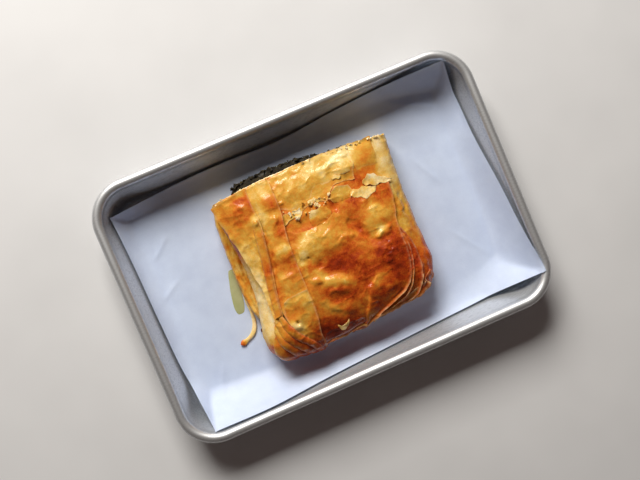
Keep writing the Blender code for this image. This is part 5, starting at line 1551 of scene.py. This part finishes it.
@dataclass
class Scatter:
    """Small loose bits strewn over a patch by geometry nodes, as one piece of one kind."""

    name: str
    kind: Bit
    finish: Finish
    per_cm2: float
    smallest: float
    largest: float
    tilt: float = 40.0
    palest: float = 0.05
    darkest: float = 0.5
    seed: int = 1

    INPUTS = (("Bit", "NodeSocketObject"), ("Density", "NodeSocketFloat"), ("Smallest", "NodeSocketFloat"),
              ("Largest", "NodeSocketFloat"), ("Tilt", "NodeSocketFloat"), ("Palest", "NodeSocketFloat"),
              ("Darkest", "NodeSocketFloat"), ("Seed", "NodeSocketInt"), ("Finish", "NodeSocketMaterial"))

    def tree(self) -> bpy.types.NodeTree:
        """Return the scatter's node tree, built once with named inputs."""
        made = bpy.data.node_groups.get("Strew bits")
        if made:
            return made
        tree = bpy.data.node_groups.new("Strew bits", "GeometryNodeTree")
        tree.interface.new_socket("Patch", in_out="INPUT", socket_type="NodeSocketGeometry")
        for name, kind in self.INPUTS:
            tree.interface.new_socket(name, in_out="INPUT", socket_type=kind)
        tree.interface.new_socket("Bits", in_out="OUTPUT", socket_type="NodeSocketGeometry")

        def node(kind: str, **settings: object) -> bpy.types.Node:
            """Add a node with its settings."""
            made_node = tree.nodes.new(kind)
            for key, value in settings.items():
                setattr(made_node, key, value)
            return made_node

        def live(sockets: object, name: str) -> bpy.types.NodeSocket:
            """Return the enabled socket of a name."""
            return next(socket for socket in sockets if socket.name == name and socket.enabled)

        given = node("NodeGroupInput").outputs
        spread = node("GeometryNodeDistributePointsOnFaces")
        info = node("GeometryNodeObjectInfo")
        info.inputs["As Instance"].default_value = True
        size = node("FunctionNodeRandomValue", data_type="FLOAT")
        shade = node("FunctionNodeRandomValue", data_type="FLOAT")
        turn = node("FunctionNodeRandomValue", data_type="FLOAT_VECTOR")
        low = node("ShaderNodeCombineXYZ")
        high = node("ShaderNodeCombineXYZ")
        negative = node("ShaderNodeMath", operation="MULTIPLY")
        negative.inputs[1].default_value = -1.0
        low.inputs["Z"].default_value, high.inputs["Z"].default_value = -math.pi, math.pi
        put = node("GeometryNodeInstanceOnPoints")
        store = node("GeometryNodeStoreNamedAttribute", data_type="FLOAT", domain="INSTANCE")
        live(store.inputs, "Name").default_value = "bake"
        real = node("GeometryNodeRealizeInstances")
        dress = node("GeometryNodeSetMaterial")
        shaded = node("GeometryNodeSetShadeSmooth")
        out = node("NodeGroupOutput")
        later = node("ShaderNodeMath", operation="ADD")
        later.inputs[1].default_value = 7.0
        links = (
            (given["Patch"], live(spread.inputs, "Mesh")), (given["Density"], live(spread.inputs, "Density")),
            (given["Seed"], live(spread.inputs, "Seed")), (given["Bit"], info.inputs["Object"]),
            (given["Smallest"], live(size.inputs, "Min")), (given["Largest"], live(size.inputs, "Max")),
            (given["Seed"], live(size.inputs, "Seed")), (given["Seed"], later.inputs[0]),
            (given["Palest"], live(shade.inputs, "Min")), (given["Darkest"], live(shade.inputs, "Max")),
            (later.outputs[0], live(shade.inputs, "Seed")), (later.outputs[0], live(turn.inputs, "Seed")),
            (given["Tilt"], high.inputs["X"]), (given["Tilt"], high.inputs["Y"]),
            (given["Tilt"], negative.inputs[0]), (negative.outputs[0], low.inputs["X"]),
            (negative.outputs[0], low.inputs["Y"]), (low.outputs[0], live(turn.inputs, "Min")),
            (high.outputs[0], live(turn.inputs, "Max")), (spread.outputs["Points"], put.inputs["Points"]),
            (info.outputs["Geometry"], put.inputs["Instance"]),
            (live(turn.outputs, "Value"), put.inputs["Rotation"]),
            (live(size.outputs, "Value"), put.inputs["Scale"]), (put.outputs[0], store.inputs["Geometry"]),
            (live(shade.outputs, "Value"), live(store.inputs, "Value")), (store.outputs[0], real.inputs[0]),
            (real.outputs[0], shaded.inputs[0]), (shaded.outputs[0], dress.inputs["Geometry"]),
            (given["Finish"], dress.inputs["Material"]), (dress.outputs[0], out.inputs[0]))
        for start, end in links:
            tree.links.new(start, end)
        return tree

    def build(self, patch: np.ndarray, columns: int, rows: int, slot: str) -> bpy.types.Object:
        """Strew the bits over a patch and return them as one plain mesh.

        Args:
            patch: the patch's places, row by row, in millimetres.
            columns, rows: the patch's size.
            slot: the record's material slot.

        Returns:
            The finished piece.
        """
        mesh = bpy.data.meshes.new("patch")
        mesh.from_pydata((patch * MM).tolist(), [], grid_quads(columns, rows).tolist())
        host = bpy.data.objects.new(self.name, mesh)
        bit = bpy.data.objects.new("bit", bit_mesh(self.kind, self.seed))
        for item in (host, bit):
            bpy.context.scene.collection.objects.link(item)
        tree = self.tree()
        modifier = host.modifiers.new("Strew", "NODES")
        modifier.node_group = tree
        values = {"Bit": bit, "Density": self.per_cm2 * 1e4, "Smallest": self.smallest * MM,
                  "Largest": self.largest * MM, "Tilt": math.radians(self.tilt), "Palest": self.palest,
                  "Darkest": self.darkest, "Seed": self.seed, "Finish": self.finish.material()}
        for item in tree.interface.items_tree:
            if item.in_out == "INPUT" and item.name in values:
                modifier[item.identifier] = values[item.name]
        bake_modifiers(host)
        bpy.data.objects.remove(bit)
        return place(host, slot)


@dataclass
class LooseBits:
    """The frayed cut edge, the crumbly tear, the leaves and cheese of the filling, and one crumb."""

    form: CrustForm

    def patch(self, x: np.ndarray, y: np.ndarray, lift: float) -> np.ndarray:
        """Return a patch's places on the crust, raised by a lift."""
        plan = np.column_stack([x, y])
        return self.form.place(plan, self.form.relief(plan) + lift)

    def build(self) -> None:
        """Make every kind of bit."""
        form = self.form
        share, row = np.meshgrid(np.linspace(0, 1, 60), np.linspace(0, 1, 3))
        x = (-51.0 + 106.0 * share).ravel()
        y = form.back_edge(x) - 1.3 + 1.6 * row.ravel()
        for number, (per_cm2, small, large) in enumerate(((16.0, 0.8, 1.7), (18.0, 0.4, 0.9))):
            kind = (Bit.FLAKE, Bit.CRUMB)[number]
            lift = 0.9 - 0.2 * number
            Scatter(f"cut_edge_{kind.value}s", kind, Finish.PASTRY, per_cm2, small, large, 50.0, 0.0, 0.24,
                    11 + number).build(self.patch(x, y, lift), 60, 3, "pastry")
        share, row = np.meshgrid(np.linspace(0, 1, 40), np.linspace(0, 1, 5))
        x, y = (-17.0 + 30.0 * share).ravel(), (20.5 + 7.0 * row).ravel()
        Scatter("tear_flakes", Bit.FLAKE, Finish.PASTRY, 7.0, 1.3, 3.4, 24.0, 0.02, 0.42,
                21).build(self.patch(x, y, 1.0), 40, 5, "pastry")
        Scatter("tear_crumbs", Bit.CRUMB, Finish.PASTRY, 8.0, 0.6, 1.4, 45.0, 0.02, 0.4,
                22).build(self.patch(x, y, 1.0), 40, 5, "pastry")
        share, row = np.meshgrid(np.linspace(0, 1, 60), np.linspace(0, 1, 20))
        x, z = (-38.0 + 74.0 * share).ravel(), (7.5 + 14.5 * row).ravel()
        y = 51.6 + 2.0 * np.exp(-((x + 14.0) / 22.0) ** 2) - 2.4 * ramp(8.0, 22.0, x)
        back = np.column_stack([x, y, z])
        Scatter("spinach_leaves", Bit.LEAF, Finish.SPINACH, 30.0, 1.6, 3.8, 90.0, 0.0, 1.0,
                31).build(back, 60, 20, "filling")
        Scatter("cheese_crumbs", Bit.CRUMB, Finish.CHEESE, 2.6, 0.9, 2.2, 60.0, 0.0, 1.0,
                32).build(back[:720], 60, 12, "filling")
        self.lone_crumb()

    def lone_crumb(self) -> None:
        """Make the dark crumb at the pie's front left foot."""
        mesh = bit_mesh(Bit.CRUMB, 5)
        points = np.empty(3 * len(mesh.vertices))
        mesh.vertices.foreach_get("co", points)
        points = points.reshape(-1, 3) * np.array([3.0, 2.6, 2.0]) + np.array([-54.8, -33.4, 3.0])
        faces = [list(face.vertices) for face in mesh.polygons]
        bpy.data.meshes.remove(mesh)
        place(make_object("dark_crumb", points, faces, Finish.PASTRY, np.ones(len(points))), "pastry")


# ------------------------------------------------------------------ studio

@dataclass
class Studio:
    """The pale floor, the window-like light and the camera."""

    eye: tuple[float, float, float] = (-33.32, 18.91, 493.35)
    aim: tuple[float, float, float] = (-0.75, 3.34, 0.0)
    heading: float = 23.16
    lens: float = 45.0
    light_heading: float = -2.0
    light_elevation: float = 37.0
    light_distance: float = 1.2
    light_watts: float = 21.0
    light_size: tuple[float, float] = (0.65, 0.5)
    light_colour: str = "#FFFAF2"
    room_colour: str = "#D8BEB4"
    room_strength: float = 0.10
    floor_drop: float = 0.3

    def floor(self) -> None:
        """Lay the floor just under the pan."""
        bm = bmesh.new()
        bmesh.ops.create_grid(bm, x_segments=1, y_segments=1, size=3.0)
        mesh = bpy.data.meshes.new("floor")
        bm.to_mesh(mesh)
        bm.free()
        for vertex in mesh.vertices:
            vertex.co.z = -self.floor_drop * MM
        mesh.materials.append(Finish.FLOOR.material())
        floor = bpy.data.objects.new("floor", mesh)
        bpy.context.scene.collection.objects.link(floor)

    def window(self) -> None:
        """Hang the soft light that faces the pie from behind the pan."""
        light = bpy.data.lights.new("window", "AREA")
        light.shape = "RECTANGLE"
        light.size, light.size_y = self.light_size
        light.energy = self.light_watts
        light.color = linear(self.light_colour)[:3]
        item = bpy.data.objects.new("window", light)
        turn, rise = math.radians(self.light_heading), math.radians(self.light_elevation)
        spot = Vector((math.sin(turn) * math.cos(rise), math.cos(turn) * math.cos(rise), math.sin(rise)))
        item.location = spot * self.light_distance
        item.rotation_euler = spot.to_track_quat("Z", "Y").to_euler()
        bpy.context.scene.collection.objects.link(item)

    def build(self) -> None:
        """Set the floor, the window, the dim room light and the camera."""
        self.floor()
        self.window()
        world = bpy.data.worlds.new("room")
        world.use_nodes = True
        background = world.node_tree.nodes["Background"]
        background.inputs["Color"].default_value = linear(self.room_colour)
        background.inputs["Strength"].default_value = self.room_strength
        bpy.context.scene.world = world
        bpy.context.scene.view_settings.view_transform = "Standard"
        camera = bpy.data.cameras.new("camera")
        camera.lens = self.lens
        camera.sensor_width = 36.0
        item = bpy.data.objects.new("camera", camera)
        eye, aim = Vector(self.eye) * MM, Vector(self.aim) * MM
        back = (eye - aim).normalized()
        turn = math.radians(self.heading)
        right = Vector((math.sin(turn), math.cos(turn), 0.0)).cross(back).normalized()
        up = back.cross(right)
        item.matrix_world = Matrix.Translation(eye) @ Matrix((right, up, back)).transposed().to_4x4()
        bpy.context.scene.collection.objects.link(item)
        bpy.context.scene.camera = item


def main() -> None:
    """Build every piece, the studio and the camera."""
    logging.basicConfig(level=logging.INFO, format="%(name)s: %(message)s")
    pan = SheetPan()
    pan.build()
    PaperLiner(pan).build()
    crust = Crust()
    crust.build()
    SpinachFilling().build()
    PastryStrip().build()
    OilPuddle().build()
    LooseBits(crust.form).build()
    Studio().build()


if __name__ == "__main__":
    main()
